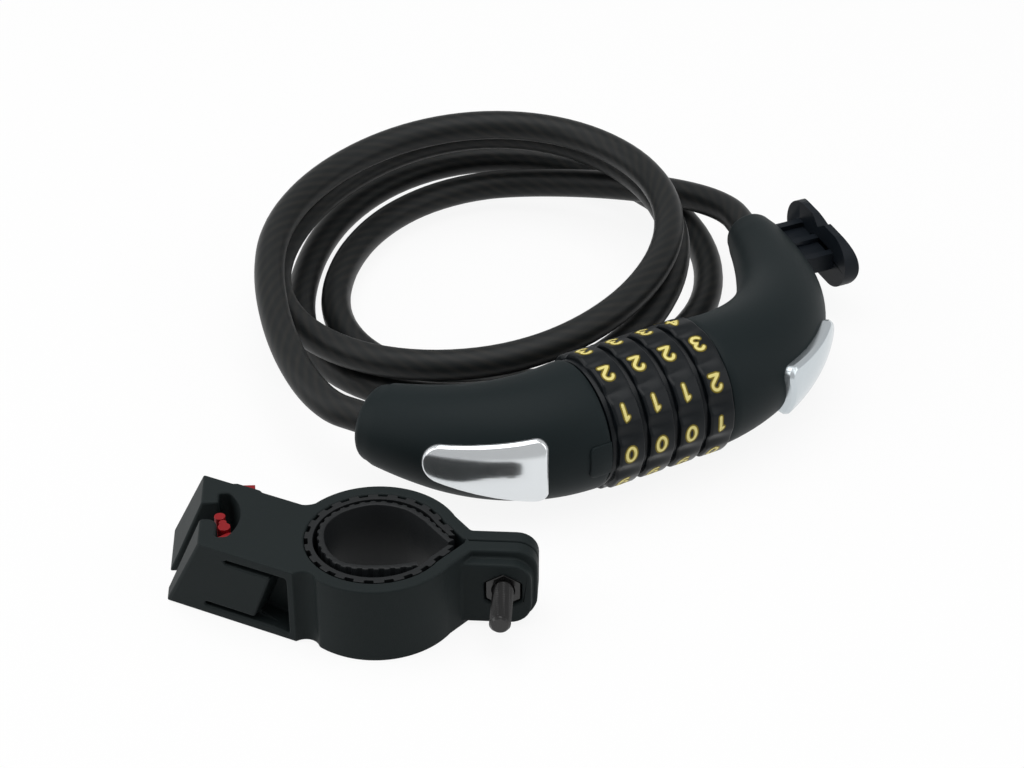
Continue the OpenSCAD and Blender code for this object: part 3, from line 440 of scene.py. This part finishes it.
def cableRoutes():
    quarters = len(route["inward"]) - 1
    perQuarter = route["ringsPerLoop"] // 4
    steps, nudge = route["leadSteps"], route["nudge"]
    elbowOut, plugOut = heading(elbowForm["end"]), heading(plugForm["end"])
    first, last = coilPoint(0), coilPoint(quarters)
    firstWay = (coilPoint(nudge) - first).normalized()
    lastWay = (last - coilPoint(quarters - nudge)).normalized()
    elbowLead = elbowEnd + elbowOut * route["straight"]
    plugLead = plugEnd + plugOut * route["straight"]
    seat = housing["seat"] - route["seatGap"]
    lead = [elbowEnd - elbowOut * seat, elbowEnd, elbowEnd + elbowOut * route["straight"] / 2]
    lead += [bezierAt(elbowLead, elbowLead + elbowOut * route["leadIn"][0],
                      first - firstWay * route["leadIn"][1], first, k / steps) for k in range(steps)]
    lead += [coilPoint(k / perQuarter) for k in range(route["leadQuarters"] * perQuarter + 1)]
    coil = [coilPoint(k / perQuarter)
            for k in range(route["leadQuarters"] * perQuarter, quarters * perQuarter + 1)]
    coil += [bezierAt(last, last + lastWay * route["leadOut"][0], plugLead + plugOut * route["leadOut"][1],
                      plugLead, k / steps) for k in range(1, steps + 1)]
    coil += [plugEnd + plugOut * route["straight"] / 2, plugEnd, plugEnd - plugOut * seat]
    return lead, coil


def pathLength(points):
    return sum((b - a).length for a, b in zip(points, points[1:]))


def cablePiece(name, points, firstWay, lastWay, startRun):
    bm = bmesh.new()
    ways = [firstWay]
    ways += [(after - before).normalized() for before, after in zip(points, points[2:])]
    ways.append(lastWay)
    rings = [ringAt(p, w, route["radius"]) for p, w in zip(points, ways)]
    sweepRings(bm, rings, route["sides"])
    # U round the cable, V along it in lengths of the strand's lay
    layer = bm.loops.layers.uv.new("UVMap")
    runs, run = [], startRun
    for i, p in enumerate(points):
        run += (p - points[i - 1]).length if i else 0
        runs.append(run / route["layLength"])
    bm.verts.index_update()
    n = route["sides"]
    for f in bm.faces:
        if len(f.loops) > 4:        # the end caps
            continue
        ids = [l.vert.index for l in f.loops]
        around = [i % n for i in ids]
        wraps = max(around) - min(around) > n / 2
        for l, i, k in zip(f.loops, ids, around):
            l[layer].uv = ((k + (n if wraps and k == 0 else 0)) / n, runs[i // n])
    return makePiece(bm, name, lockPlace, material["cableSheath"], 60)


leadPath, coilPath = cableRoutes()
joinWay = (coilPoint(route["leadQuarters"] + route["nudge"]) - coilPoint(route["leadQuarters"])).normalized()
cableLead = cablePiece("cableLeadSkin", leadPath, heading(elbowForm["end"]), joinWay, 0)
cableCoil = cablePiece("cableCoilSkin", coilPath, joinWay, -heading(plugForm["end"]), pathLength(leadPath))
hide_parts("cable_lead")
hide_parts("cable_coil")


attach(cableCoil, "plug")
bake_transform(cableLead, "plug", "lock_head", start=tuple(lockPlace @ leadPath[-1]), end=tuple(lockPlace @ elbowEnd))
print("cable laid, mm:", round(pathLength(leadPath) + pathLength(coilPath)))


def housingPiece(name, form, axis, body, node, extra=None):
    bm = bmesh.new()
    rings = skinRings(form, axis)
    end, out = axis[-1], heading(form["end"])
    for wider, depth in housing["mouthRound"] + [(0, housing["seat"])]:
        rings.append(ringAt(end - out * depth, out, housing["mouth"] + wider))
    sweepRings(bm, rings, housing["sides"])
    if extra:
        extra(bm)
    piece = makePiece(bm, name, lockPlace, material["softBlack"], 50)
    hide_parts(node)
    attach(piece, body)


indexTab = {"width": 6, "height": 9, "thick": 2, "proud": 0.32, "corner": 1.6, "soft": 0.3, "strips": 12}


def addIndexTab(shell):
    # a low pad beside the first dial, drawn as a flat block and bent to the housing's round
    f = indexTab
    w, h, t = f["width"], f["height"], f["thick"]
    bm = bmesh.new()
    bmesh.ops.create_cube(bm, size=1, matrix=Matrix.Translation((plugForm["start"] - w / 2, 0, 0))
                          @ Matrix.Diagonal((w, t, h, 1)))
    upright = [e for e in bm.edges if abs(e.verts[0].co.y - e.verts[1].co.y) > t / 2
               and e.verts[0].co.x < plugForm["start"] - w / 2]
    bmesh.ops.bevel(bm, geom=upright, offset=f["corner"], segments=5, affect="EDGES", profile=0.5, material=-1)
    front = [e for e in bm.edges if all(v.co.y < -t / 2 + 0.1 for v in e.verts)]
    bmesh.ops.bevel(bm, geom=front, offset=f["soft"], segments=3, affect="EDGES", profile=0.5, material=-1)
    for k in range(1, f["strips"]):
        z = -h / 2 + h * k / f["strips"]
        bmesh.ops.bisect_plane(bm, geom=bm.verts[:] + bm.edges[:] + bm.faces[:], dist=1e-5,
                               plane_co=(0, 0, z), plane_no=(0, 0, 1))
    for v in bm.verts:
        a = v.co.z / plugForm["r"]
        r = plugForm["r"] + f["proud"] - t / 2 - v.co.y
        v.co = Vector((v.co.x, -r * cos(a), layout["axisZ"] + r * sin(a)))
    mesh = bpy.data.meshes.new("tabDraft")
    bm.to_mesh(mesh)
    bm.free()
    shell.from_mesh(mesh)
    bpy.data.meshes.remove(mesh)


housingPiece("plugShell", plugForm, plugAxis, "plug", "plug_housing", addIndexTab)
housingPiece("elbowShell", elbowForm, elbowAxis, "lock_head", "elbow_housing")
print("housings swept")

# ---- metal side plates, drawn flat and laid on the skin
plateForm = {"length": 30, "tipR": 5, "cornerR": 3, "sunk": 1.6, "soft": 0.25, "arcSteps": 14, "sideSteps": 22,
             "insets": [0, 0.12, 0.3], "edgeSteps": 8, "innerSteps": 16, "innerDepth": 9, "cast": 60,
             "smooth": 28}
plugPlate = dict(plateForm, height=18, ends=(-0.6, 1.2), proud=1.2, edge=0.6, wall=0.4, lean=0,
                 along=-7.1, turn=-34, mirrored=True, look="satinChrome")
elbowPlate = dict(plateForm, height=15, ends=(-2.1, -0.8), proud=2.4, edge=0.8, wall=0.62, lean=1.1,
                  along=10, turn=35, mirrored=False, look="brushedChrome")


def plateOutline(f, inset):
    # the outline, drawn in by inset: three rounds and the straight sides between them
    wide, c, t = f["height"] / 2 - f["cornerR"], f["cornerR"], f["tipR"]
    top = Vector((c - f["lean"], wide + f["ends"][0]))
    low = Vector((c + f["lean"], -wide + f["ends"][0]))
    tip = Vector((f["length"] - t, f["ends"][1]))
    upper, lower = [atan2(d.y, d.x) + side * acos((c - t) / d.length)
                    for d, side in ((tip - top, 1), (tip - low, -1))]
    rounds = [(top, c, upper, pi), (low, c, pi, 2 * pi + lower), (tip, t, lower, upper)]
    points = []
    for k, (centre, r, a0, a1) in enumerate(rounds):
        for i in range(f["arcSteps"] + 1):
            a = a0 + (a1 - a0) * i / f["arcSteps"]
            points.append(centre + (r - inset) * Vector((cos(a), sin(a))))
        nextCentre, nextR, b0, _ = rounds[(k + 1) % 3]
        goal = nextCentre + (nextR - inset) * Vector((cos(b0), sin(b0)))
        points += [points[-1].lerp(goal, i / f["sideSteps"]) for i in range(1, f["sideSteps"])]
    return points


def plateLift(f, depth):
    # upright wall, straight chamfer, and a short ease into the flat
    if depth <= 0:
        return f["proud"] * f["wall"]
    ramp = 1 - depth / f["edge"]
    eased = 1 - (ramp + sqrt(ramp * ramp + f["soft"] ** 2)) / 2
    return f["proud"] * (f["wall"] + (1 - f["wall"]) * eased)


def uprightSketch(x, turn, mirrored):
    m = (Matrix.Translation((x, 0, layout["axisZ"])) @ Matrix.Rotation(radians(turn), 4, "Z")
         @ Matrix.Rotation(radians(90), 4, "X"))
    return m @ Matrix.Scale(-1, 4, (1, 0, 0)) if mirrored else m


def platePiece(name, form, axis, f, body, node):
    # loops of the outline are cast on the skin from outside, and lifted along its normal
    guide = bmesh.new()
    sweepRings(guide, skinRings(form, axis), housing["sides"])
    bmesh.ops.recalc_face_normals(guide, faces=guide.faces[:])
    tree = BVHTree.FromBMesh(guide)
    place = uprightSketch(form["start"] + f["along"], f["turn"], f["mirrored"])
    way = (place.to_3x3() @ Vector((0, 0, 1))).normalized()
    insets = f["insets"] + [f["edge"] * k / f["edgeSteps"] for k in range(3, 15)]
    loops = [(plateOutline(f, inset), inset) for inset in insets if inset < f["cornerR"] - 0.2]
    inner = loops[-1][0]
    middle = sum(inner, Vector((0, 0))) / len(inner)
    loops += [([p.lerp(middle, k / f["innerSteps"]) for p in inner], f["innerDepth"])
              for k in range(1, f["innerSteps"])]
    bm = bmesh.new()
    last = None
    for points, inset in [(loops[0][0], None)] + loops:
        row = []
        for flat in points:
            point = place @ Vector((flat.x, flat.y, 0))
            hit = tree.ray_cast(point + way * f["cast"], -way)
            if inset is None:
                row.append(bm.verts.new(hit[0] - way * f["sunk"]))
            else:
                row.append(bm.verts.new(hit[0] + hit[1] * plateLift(f, inset)))
        if last:
            joinRows(bm, last, row)
        last = row
    bm.faces.new(last)
    guide.free()
    piece = makePiece(bm, name, lockPlace, material[f["look"]], f["smooth"])
    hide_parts(node)
    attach(piece, body)


platePiece("plugPlate", plugForm, plugAxis, plugPlate, "plug", "plug_plate")
platePiece("elbowPlate", elbowForm, elbowAxis, elbowPlate, "lock_head", "elbow_plate")
print("plates laid")

# ---- number dials
dialForm = {"pitch": 8.6, "gap": 0.4, "r": 17.4, "shoulderR": 15.9, "shoulderW": 1.3, "scoopDepth": 0.9,
            "edge": 0.8, "rightEdge": 0.4, "boreR": 10.65, "steps": 360, "edgeSteps": 6, "faceSteps": 14,
            "rightSteps": 4, "click": 36, "padHalf": 8, "padRight": 0.25, "saddle": 7}
# the wider, lower band round each stroke is painted shade for the shaded recessed edge of the digit
digitForm = {"width": 2.35, "height": 3.75, "stroke": 0.44, "rim": 0.8, "proud": 0.08, "rimProud": 0.04,
             "left": 0.45, "sides": 10, "endTurns": (88, 65, 35)}
dialWidth = dialForm["pitch"] - dialForm["gap"]


def easeIn(value):
    v = min(max(value, 0), 1)
    return v * v * (3 - 2 * v)


def roundOver(depth, r):
    # how far a rounded edge has dropped at this depth from it
    return r * (1 - sqrt(max(1 - (1 - max(depth, 0) / r) ** 2, 0))) if depth < r else 0


def dialRadius(x, turn):
    # x from the dial's left face; turn from the nearest number's middle, in degrees
    f = dialForm
    left, right = x - f["shoulderW"], dialWidth - x
    # a smooth saddle between pads, which runs out towards the right edge
    across = f["padRight"] + (1 - f["padRight"]) * easeIn(right / f["saddle"])
    along = easeIn((abs(turn) - f["padHalf"]) / (f["click"] / 2 - f["padHalf"]))
    r = f["r"] - f["scoopDepth"] * across * along
    return r - roundOver(left, f["edge"]) - roundOver(right, f["rightEdge"])


def addDialBody(bm, x0):
    f = dialForm
    w, shoulder = dialWidth, f["shoulderR"]
    face = f["shoulderW"] + f["edge"]
    # the profile from the bore up the left face, over the shoulder and the skin, and down the right face
    profile = [(0.15, f["boreR"]), (0.15, shoulder - 2), (0, shoulder - 1.2), (0, shoulder - 0.35),
               (0.12, shoulder - 0.1), (0.35, shoulder), (f["shoulderW"], shoulder)]
    stops = [f["shoulderW"] + f["edge"] * k / f["edgeSteps"] for k in range(f["edgeSteps"] + 1)]
    stops += [face + (w - f["rightEdge"] - face) * k / f["faceSteps"] for k in range(1, f["faceSteps"] + 1)]
    stops += [w - f["rightEdge"] * (1 - k / f["rightSteps"]) for k in range(1, f["rightSteps"] + 1)]
    profile += [(x, f["r"]) for x in stops]
    profile += [(w, shoulder - 0.5), (w - 0.1, shoulder - 2), (w - 0.1, f["boreR"])]
    verts = [bm.verts.new((x0 + x, 0, r)) for x, r in profile]
    edges = [bm.edges.new(p) for p in zip(verts, verts[1:])]
    edges.append(bm.edges.new((verts[-1], verts[0])))
    bmesh.ops.spin(bm, geom=verts + edges, cent=(0, 0, 0), axis=(1, 0, 0), dvec=(0, 0, 0), angle=2 * pi,
                   steps=f["steps"], use_merge=True)
    for v in bm.verts:
        x = v.co.x - x0
        r = Vector((0, v.co.y, v.co.z)).length
        if abs(r - f["r"]) < 0.01 and x >= f["shoulderW"] - 0.01:
            a = degrees(atan2(v.co.z, -v.co.y))          # 0 at the front
            turn = (a + f["click"] / 2) % f["click"] - f["click"] / 2
            k = dialRadius(x, turn) / r
            v.co.y *= k
            v.co.z *= k


def arc(cx, cy, rx, ry, a0, a1, n):
    turns = [radians(a0 + (a1 - a0) * k / n) for k in range(n + 1)]
    return [Vector((cx + rx * cos(a), cy + ry * sin(a))) for a in turns]


def straight(*points):
    # evenly set points, so the stroke bends with the dial
    out = [Vector(points[0])]
    for a, b in zip(points, points[1:]):
        a, b = Vector(a), Vector(b)
        n = max(2, int((b - a).length / 0.12))
        out += [a.lerp(b, k / n) for k in range(1, n + 1)]
    return out


def digitStrokes(d):
    # strokes in a box one wide and one and a half high, centred
    if d == 0:
        return [arc(0, 0, 0.5, 0.75, 90, 450, 36)]
    if d == 1:
        return [straight((-0.22, 0.5), (0.08, 0.75), (0.08, -0.75))]
    if d == 2:
        return [arc(0, 0.3, 0.48, 0.45, 165, -35, 18) + straight((0.36, 0.02), (-0.5, -0.75), (0.5, -0.75))]
    if d == 3:
        return [arc(-0.04, 0.38, 0.46, 0.37, 150, -90, 18) + arc(-0.04, -0.37, 0.52, 0.38, 90, -150, 18)[1:]]
    if d == 4:
        return [straight((0.22, -0.75), (0.22, 0.75), (-0.5, -0.3), (0.5, -0.3))]
    if d == 5:
        return [straight((0.42, 0.75), (-0.38, 0.75), (-0.44, 0.1)) + arc(0, -0.26, 0.5, 0.49, 140, -150, 20)]
    if d == 6:
        return [arc(0.1, 0.0, 0.6, 0.75, 75, 180, 14) + arc(0, -0.28, 0.5, 0.47, 180, 540, 30)]
    if d == 7:
        return [straight((-0.48, 0.75), (0.48, 0.75), (-0.1, -0.75))]
    if d == 8:
        return [arc(0, 0.38, 0.42, 0.37, -90, 270, 28), arc(0, -0.37, 0.5, 0.38, 90, 450, 28)]
    return [arc(-0.1, 0.0, 0.6, 0.75, 255, 360, 14) + arc(0, 0.28, 0.5, 0.47, 0, 360, 30)]


def addDigit(bm, d, xMid, angle, half, lift):
    # the numbers stand on their heads at the front: their tops point down, their right to the left
    f = digitForm
    for stroke in digitStrokes(d):
        pts = [Vector((-p.x * f["width"], -p.y * f["height"] / 1.5)) for p in stroke]
        closed = (pts[0] - pts[-1]).length < 0.05
        radii = [half] * len(pts)
        if not closed:
            # round ends
            a, b = (pts[1] - pts[0]).normalized(), (pts[-1] - pts[-2]).normalized()
            turns = [radians(q) for q in f["endTurns"]]
            ends = [half * max(cos(q), 0.05) for q in turns]
            first, last = pts[0], pts[-1]
            pts = [first - a * half * sin(q) for q in turns] + pts
            pts += [last + b * half * sin(q) for q in turns[::-1]]
            radii = ends + radii + ends[::-1]
        rings = []
        for i, p in enumerate(pts):
            before, after = pts[max(i - 1, 0)], pts[min(i + 1, len(pts) - 1)]
            if closed and i in (0, len(pts) - 1):
                before, after = pts[-2], pts[1]
            way = Vector(((after - before).x, (after - before).y, 0))
            rings.append(ringAt(Vector((p.x, p.y, 0)), way, radii[i], lift))
        mark = set(bm.verts)
        sweepRings(bm, rings, f["sides"], not closed, not closed)
        for v in bm.verts:
            if v in mark:
                continue
            a = angle + v.co.y / dialForm["r"]
            r = dialForm["r"] + v.co.z
            v.co = Vector((xMid + v.co.x, -r * cos(a), r * sin(a)))


def dialPieces(i, shownFront):
    x0 = i * dialForm["pitch"] - dialWidth / 2
    body = "dial_" + ("one", "two", "three", "four")[i]
    place = lockPlace @ Matrix.Translation((0, 0, layout["axisZ"]))
    bm = bmesh.new()
    addDialBody(bm, x0)
    dial = makePiece(bm, "dialBody%d" % (i + 1), place, material["dialBlack"], 40)
    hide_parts("dial_%d" % (i + 1))
    pieces = [dial]
    xMid = x0 + dialForm["shoulderW"] + (dialWidth - dialForm["shoulderW"]) / 2 - digitForm["left"]
    # first a wider band of painted shade round each stroke, for the shaded recessed edge, then the yellow digit on it
    for name, half, lift, mat in (("digitEdgeShades", digitForm["rim"], digitForm["rimProud"], "digitEdgeShade"),
                                  ("digits", digitForm["stroke"], digitForm["proud"], "digitYellow")):
        bm = bmesh.new()
        for d in range(10):
            addDigit(bm, d, xMid, radians(dialForm["click"] * (d - shownFront)), half, lift)
        pieces.append(makePiece(bm, "%s%d" % (name, i + 1), place, material[mat], 60))
    for p in pieces:
        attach(p, body)


for i, front in enumerate((0, 0, 0, 1)):
    dialPieces(i, front)
print("dials made")


# ---- pieces that keep the solid's shape, with their moulded or turned edges softened
softening = {"merge": 1e-6, "sliver": 3e-5, "flat": 0.6, "angle": 28, "smooth": 30, "segments": 3}


def softenedCopy(node, name, mat, slot, width, clamp=True, leave=(), extra=None):
    # leave: places, in millimetres, and how far round them the edges stay sharp
    f = softening
    bm = bmesh.new()
    bm.from_mesh(frame["nodes"][node].data)
    bmesh.ops.remove_doubles(bm, verts=bm.verts[:], dist=f["merge"])
    bmesh.ops.dissolve_degenerate(bm, dist=f["sliver"], edges=bm.edges[:])
    bmesh.ops.dissolve_limit(bm, angle_limit=radians(f["flat"]), use_dissolve_boundaries=False,
                             verts=bm.verts[:], edges=bm.edges[:])
    weight = bm.edges.layers.float.new("bevel_weight_edge")
    for e in bm.edges:
        middle = (e.verts[0].co + e.verts[1].co) * 500          # in millimetres
        near = any((middle - Vector(spot)).length < reach for *spot, reach in leave)
        if len(e.link_faces) == 2 and e.calc_face_angle() > radians(f["angle"]) and not near:
            e[weight] = 1
    if extra:
        extra(bm)
    piece = makePiece(bm, name, Matrix.Identity(4), material[mat], f["smooth"], outward=False)
    addModifier(piece, "BEVEL", width=width, segments=f["segments"], limit_method="WEIGHT",
                harden_normals=True, use_clamp_overlap=clamp, miter_outer="MITER_ARC")
    addModifier(piece, "WEIGHTED_NORMAL", keep_sharp=True)
    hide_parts(node)
    for body, nodes in frame["record"]["behaviour"]["bodies"].items():
        if node in nodes:
            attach(piece, body)


# the catch's lobes, as they show in the receiver: middle x and y, radius, and foot and top heights
catchForm = {"sides": 28, "lobes": [(-34.7, 6.3, 1.45, 8, 19.5), (-35.1, 8.2, 0.9, 12, 19.3),
                                    (-35.9, 10.4, 1.3, 12, 19.4)]}


def addCatch(bm):
    weight = bm.edges.layers.float["bevel_weight_edge"]
    for x, y, r, z0, z1 in catchForm["lobes"]:
        place = Matrix.Translation((x / 1000, y / 1000, (z0 + z1) / 2000))
        lobe = bmesh.ops.create_cone(bm, cap_ends=True, segments=catchForm["sides"], radius1=r / 1000,
                                     radius2=r / 1000, depth=(z1 - z0) / 1000, matrix=place)
        for v in lobe["verts"]:
            for e in v.link_edges:          # its round edges are softened too
                if abs(e.verts[0].co.z - e.verts[1].co.z) < 1e-6:
                    e[weight] = 1


softened = [
    ("bracket_body", "bracketShell", "bracketBlack", "bracket_plastic", 0.00055,
     {"clamp": False, "leave": [(31.2, -6.9, 1.6, 2.2), (35.2, -7.1, 1.7, 2.2), (-27.1, -0.1, 12.4, 2)]}),
    ("mount_stud", "mountStud", "studBlack", "stud_plastic", 0.0004, {}),
    ("release_latch", "latchBody", "latchRed", "latch_red", 0.0004, {"extra": addCatch}),
    ("clamp_nut", "clampNut", "blackOxide", "black_steel", 0.00035, {}),
    ("clamp_liner", "clampLiner", "linerBlack", "liner_rubber", 0.00015, {}),
]
for node, name, mat, slot, width, options in softened:
    softenedCopy(node, name, mat, slot, width, **options)

# ---- the loose strip, which springs away from the liner at the front
stripForm = {"thick": 1.65, "height": 20, "soft": 0.3, "step": 0.3, "rib": 0.35, "ribSteps": 8,
             "path": [(17, -2.1), (14, 2.4), (11, 7), (6.5, 11.2), (-0.5, 13.1), (-7.5, 10.8), (-11.6, 6.3),
                      (-12.6, 1), (-11.4, -4.5), (-8.3, -8.8), (-4, -10.4), (1, -10.8), (5.2, -10.6),
                      (9.2, -9.9)]}


def curveThrough(points, step):
    # Catmull-Rom through the points, at even steps
    out = []
    for i in range(len(points) - 1):
        a, b, c, d = (Vector(points[min(max(k, 0), len(points) - 1)]) for k in (i - 1, i, i + 1, i + 2))
        n = max(2, round((c - b).length / step))
        for k in range(n):
            t = k / n
            out.append(b + t / 2 * (c - a + t * (2 * a - 5 * b + 4 * c - d + t * (3 * (b - c) + d - a))))
    return out + [Vector(points[-1])]


def stripPiece():
    f = stripForm
    line = curveThrough(f["path"], f["step"])
    bm = bmesh.new()
    rows = []
    for i, p in enumerate(line):
        way = (line[min(i + 1, len(line) - 1)] - line[max(i - 1, 0)]).normalized()
        side = Vector((way.y, -way.x))            # away from the clamp's middle
        if side.dot(p) < 0:
            side = -side
        rib = f["rib"] if i % f["ribSteps"] >= f["ribSteps"] // 2 else 0
        near, far, k, h = -f["thick"] / 2, f["thick"] / 2 - rib, f["soft"], f["height"]
        section = [(near, k), (near, h - k), (near + k / 3, h - k / 3), (near + k, h), (far - k, h),
                   (far - k / 3, h - k / 3), (far, h - k), (far, k), (far - k, 0), (near + k, 0)]
        rows.append([bm.verts.new((p.x + side.x * u, p.y + side.y * u, z)) for u, z in section])
    for last, row in zip(rows, rows[1:]):
        joinRows(bm, last, row)
    bm.faces.new(rows[0])
    bm.faces.new(rows[-1][::-1])
    piece = makePiece(bm, "linerStrip", Matrix.Scale(0.001, 4), material["linerBlack"], 30)
    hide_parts("liner_insert")
    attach(piece, "bracket")


stripPiece()

# ---- the clamp's screw, with its thread
screw = {"r": 2.5, "headR": 4.4, "head": 4, "headEdge": 0.4, "headSoft": 0.12, "socketR": 2.3, "socket": 2.2,
         "under": 0.1, "length": 22.15, "plain": 4, "pitch": 0.8, "depth": 0.5, "runIn": 1.5, "chamfer": 0.6,
         "sides": 48, "rows": 10, "turn": -6, "place": (29.2, 4.15, 10.3)}


def screwPiece():
    # drawn upright, with the head below zero and the thread above
    f = screw
    bm = bmesh.new()
    up, out = Vector((0, 0, 1)), Vector((0, 1, 0))
    head, soft, edge = f["headR"], f["headSoft"], f["headEdge"]
    outline = [(-f["head"], f["socketR"]), (-f["head"], head - edge), (-f["head"] + soft, head - soft),
               (-f["head"] + edge, head), (-f["under"], head), (0, head - f["under"]), (0, f["r"]),
               (f["under"], f["r"])]
    steps = int((f["length"] - f["plain"]) / f["pitch"] * f["rows"])
    outline += [(f["plain"] + (f["length"] - f["plain"]) * k / steps, f["r"]) for k in range(steps + 1)]
    sweepRings(bm, [ringAt(Vector((0, 0, z)), up, r, up=out) for z, r in outline], f["sides"], False, True)
    for v in bm.verts:
        z, r = v.co.z, Vector((v.co.x, v.co.y)).length
        if z > f["plain"] - 0.01 and r > 0.5:
            turn = atan2(v.co.y, v.co.x) / (2 * pi)
            phase = (z / f["pitch"] + turn) % 1
            cut = min(f["depth"] * abs(2 * phase - 1) * min((z - f["plain"]) / f["runIn"], 1), f["depth"])
            cut = max(cut, f["chamfer"] - (f["length"] - z))
            v.co.x *= (f["r"] - cut) / r
            v.co.y *= (f["r"] - cut) / r
    # hexagon socket
    socket = bmesh.ops.create_circle(bm, cap_ends=False, segments=6, radius=f["socketR"],
                                     matrix=Matrix.Translation((0, 0, -f["head"])))["verts"]
    edges = list({e for v in socket for e in v.link_edges})
    made = bmesh.ops.extrude_edge_only(bm, edges=edges)["geom"]
    floorVerts = [g for g in made if isinstance(g, bmesh.types.BMVert)]
    floorEdges = [g for g in made if isinstance(g, bmesh.types.BMEdge) and len(g.link_faces) == 1]
    bmesh.ops.translate(bm, vec=(0, 0, f["socket"]), verts=floorVerts)
    bmesh.ops.holes_fill(bm, edges=floorEdges)
    place = (Matrix.Scale(0.001, 4) @ Matrix.Rotation(radians(f["turn"]), 4, "Z")
             @ Matrix.Translation(f["place"]) @ Matrix.Rotation(radians(90), 4, "X"))
    piece = makePiece(bm, "clampBolt", place, material["blackOxide"], 30)
    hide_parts("clamp_bolt")
    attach(piece, "bracket")


screwPiece()

# ---- inner pieces keep the solid's mesh and only get a material
bare = {"turnedSteel": ["lock_core", "core_pin", "dial_washer", "elbow_ferrule", "elbow_ferrule_pin",
                        "plug_ferrule", "plug_ferrule_pin", "shackle_pin", "shackle_cross_pin"],
        "springWire": ["detent_spring", "latch_spring"],
        "ringBrass": ["clutch_ring_%d" % k for k in range(1, 5)]}
for mat, nodes in bare.items():
    for node in nodes:
        mesh = frame["nodes"][node].data
        mesh.materials.clear()
        mesh.materials.append(material[mat])
print("bracket and small parts dressed")

# ---- floor, world and lights
studio = {"floor": (0.9, 0.9, 0.9), "floorRough": 0.9, "floorSpecular": 0.1, "floorHalf": 4, "floorGlow": 0.9,
          "sky": 0.16, "cameraSide": 0.13, "skyFrom": -0.75, "skyTo": 0.1, "skyShine": 0.5}


def buildFloor():
    # its own colour takes the light and shadow; camera, glossy and transmission rays see it mostly white
    bm = bmesh.new()
    bmesh.ops.create_grid(bm, x_segments=1, y_segments=1, size=studio["floorHalf"])
    m, tree, shader = emptyMaterial("paleFloor")
    shader.inputs["Base Color"].default_value = (*studio["floor"], 1)
    shader.inputs["Roughness"].default_value = studio["floorRough"]
    shader.inputs["Specular IOR Level"].default_value = studio["floorSpecular"]
    glow = tree.nodes.new("ShaderNodeEmission")
    rays = tree.nodes.new("ShaderNodeLightPath")
    metal, glass = mathNode(tree, "MAXIMUM"), mathNode(tree, "MAXIMUM")
    share = mathNode(tree, "MULTIPLY", studio["floorGlow"])
    mix = tree.nodes.new("ShaderNodeMixShader")
    output = tree.nodes["Material Output"]
    link(tree, (rays.outputs["Is Camera Ray"], metal.inputs[0]),
         (rays.outputs["Is Glossy Ray"], metal.inputs[1]), (metal.outputs[0], glass.inputs[0]),
         (rays.outputs["Is Transmission Ray"], glass.inputs[1]), (glass.outputs[0], share.inputs[0]),
         (share.outputs[0], mix.inputs["Fac"]),
         (shader.outputs[0], mix.inputs[1]), (glow.outputs[0], mix.inputs[2]),
         (mix.outputs[0], output.inputs["Surface"]))
    floor = makePiece(bm, "floor", Matrix.Identity(4), m, None)


def buildWorld():
    world = bpy.data.worlds.new("studio")
    scene.world = world
    world.use_nodes = True
    tree = world.node_tree
    back = tree.nodes["Background"]
    back.inputs["Color"].default_value = (1, 1, 1, 1)
    coord = tree.nodes.new("ShaderNodeTexCoord")
    split = tree.nodes.new("ShaderNodeSeparateXYZ")
    side = tree.nodes.new("ShaderNodeMapRange")       # dark towards the camera, paler behind and overhead
    side.inputs["From Min"].default_value = studio["skyFrom"]
    side.inputs["From Max"].default_value = studio["skyTo"]
    side.inputs["To Min"].default_value = studio["cameraSide"]
    side.inputs["To Max"].default_value = studio["sky"]
    side.interpolation_type = "SMOOTHSTEP"
    rays = tree.nodes.new("ShaderNodeLightPath")
    white = tree.nodes.new("ShaderNodeMix")           # the camera sees white, and metal a part of it
    white.inputs["B"].default_value = 1
    metal = mathNode(tree, "MULTIPLY_ADD", studio["skyShine"])
    metal.use_clamp = True
    glass = mathNode(tree, "MAXIMUM")
    link(tree, (coord.outputs["Generated"], split.inputs["Vector"]),
         (split.outputs["Y"], side.inputs["Value"]), (side.outputs["Result"], white.inputs["A"]),
         (rays.outputs["Is Glossy Ray"], metal.inputs[0]), (rays.outputs["Is Camera Ray"], metal.inputs[2]),
         (metal.outputs[0], glass.inputs[0]), (rays.outputs["Is Transmission Ray"], glass.inputs[1]),
         (glass.outputs[0], white.inputs["Factor"]), (white.outputs["Result"], back.inputs["Strength"]))


lamps = {
    "overhead": {"place": (0.0, 0.02, 1.0), "aim": (0.04, 0.06, 0), "size": (1.3, 0.9), "power": 9},
    "left": {"place": (-0.9, 0.0, 0.5), "aim": (0.05, 0.08, 0), "size": (1.0, 0.8), "power": 4.5},
    "right": {"place": (0.9, -0.2, 0.5), "aim": (0.05, 0.08, 0), "size": (0.8, 0.7), "power": 2.5},
}


def buildLamps():
    for name, lamp in lamps.items():
        data = bpy.data.lights.new(name, "AREA")
        data.shape = "RECTANGLE"
        data.size, data.size_y = lamp["size"]
        data.energy = lamp["power"]
        obj = bpy.data.objects.new(name, data)
        scene.collection.objects.link(obj)
        obj.location = lamp["place"]
        obj.rotation_euler = (Vector(lamp["place"]) - Vector(lamp["aim"])).to_track_quat("Z", "Y").to_euler()


buildFloor()
buildWorld()
buildLamps()
scene.view_settings.view_transform = "Standard"
print("studio set")
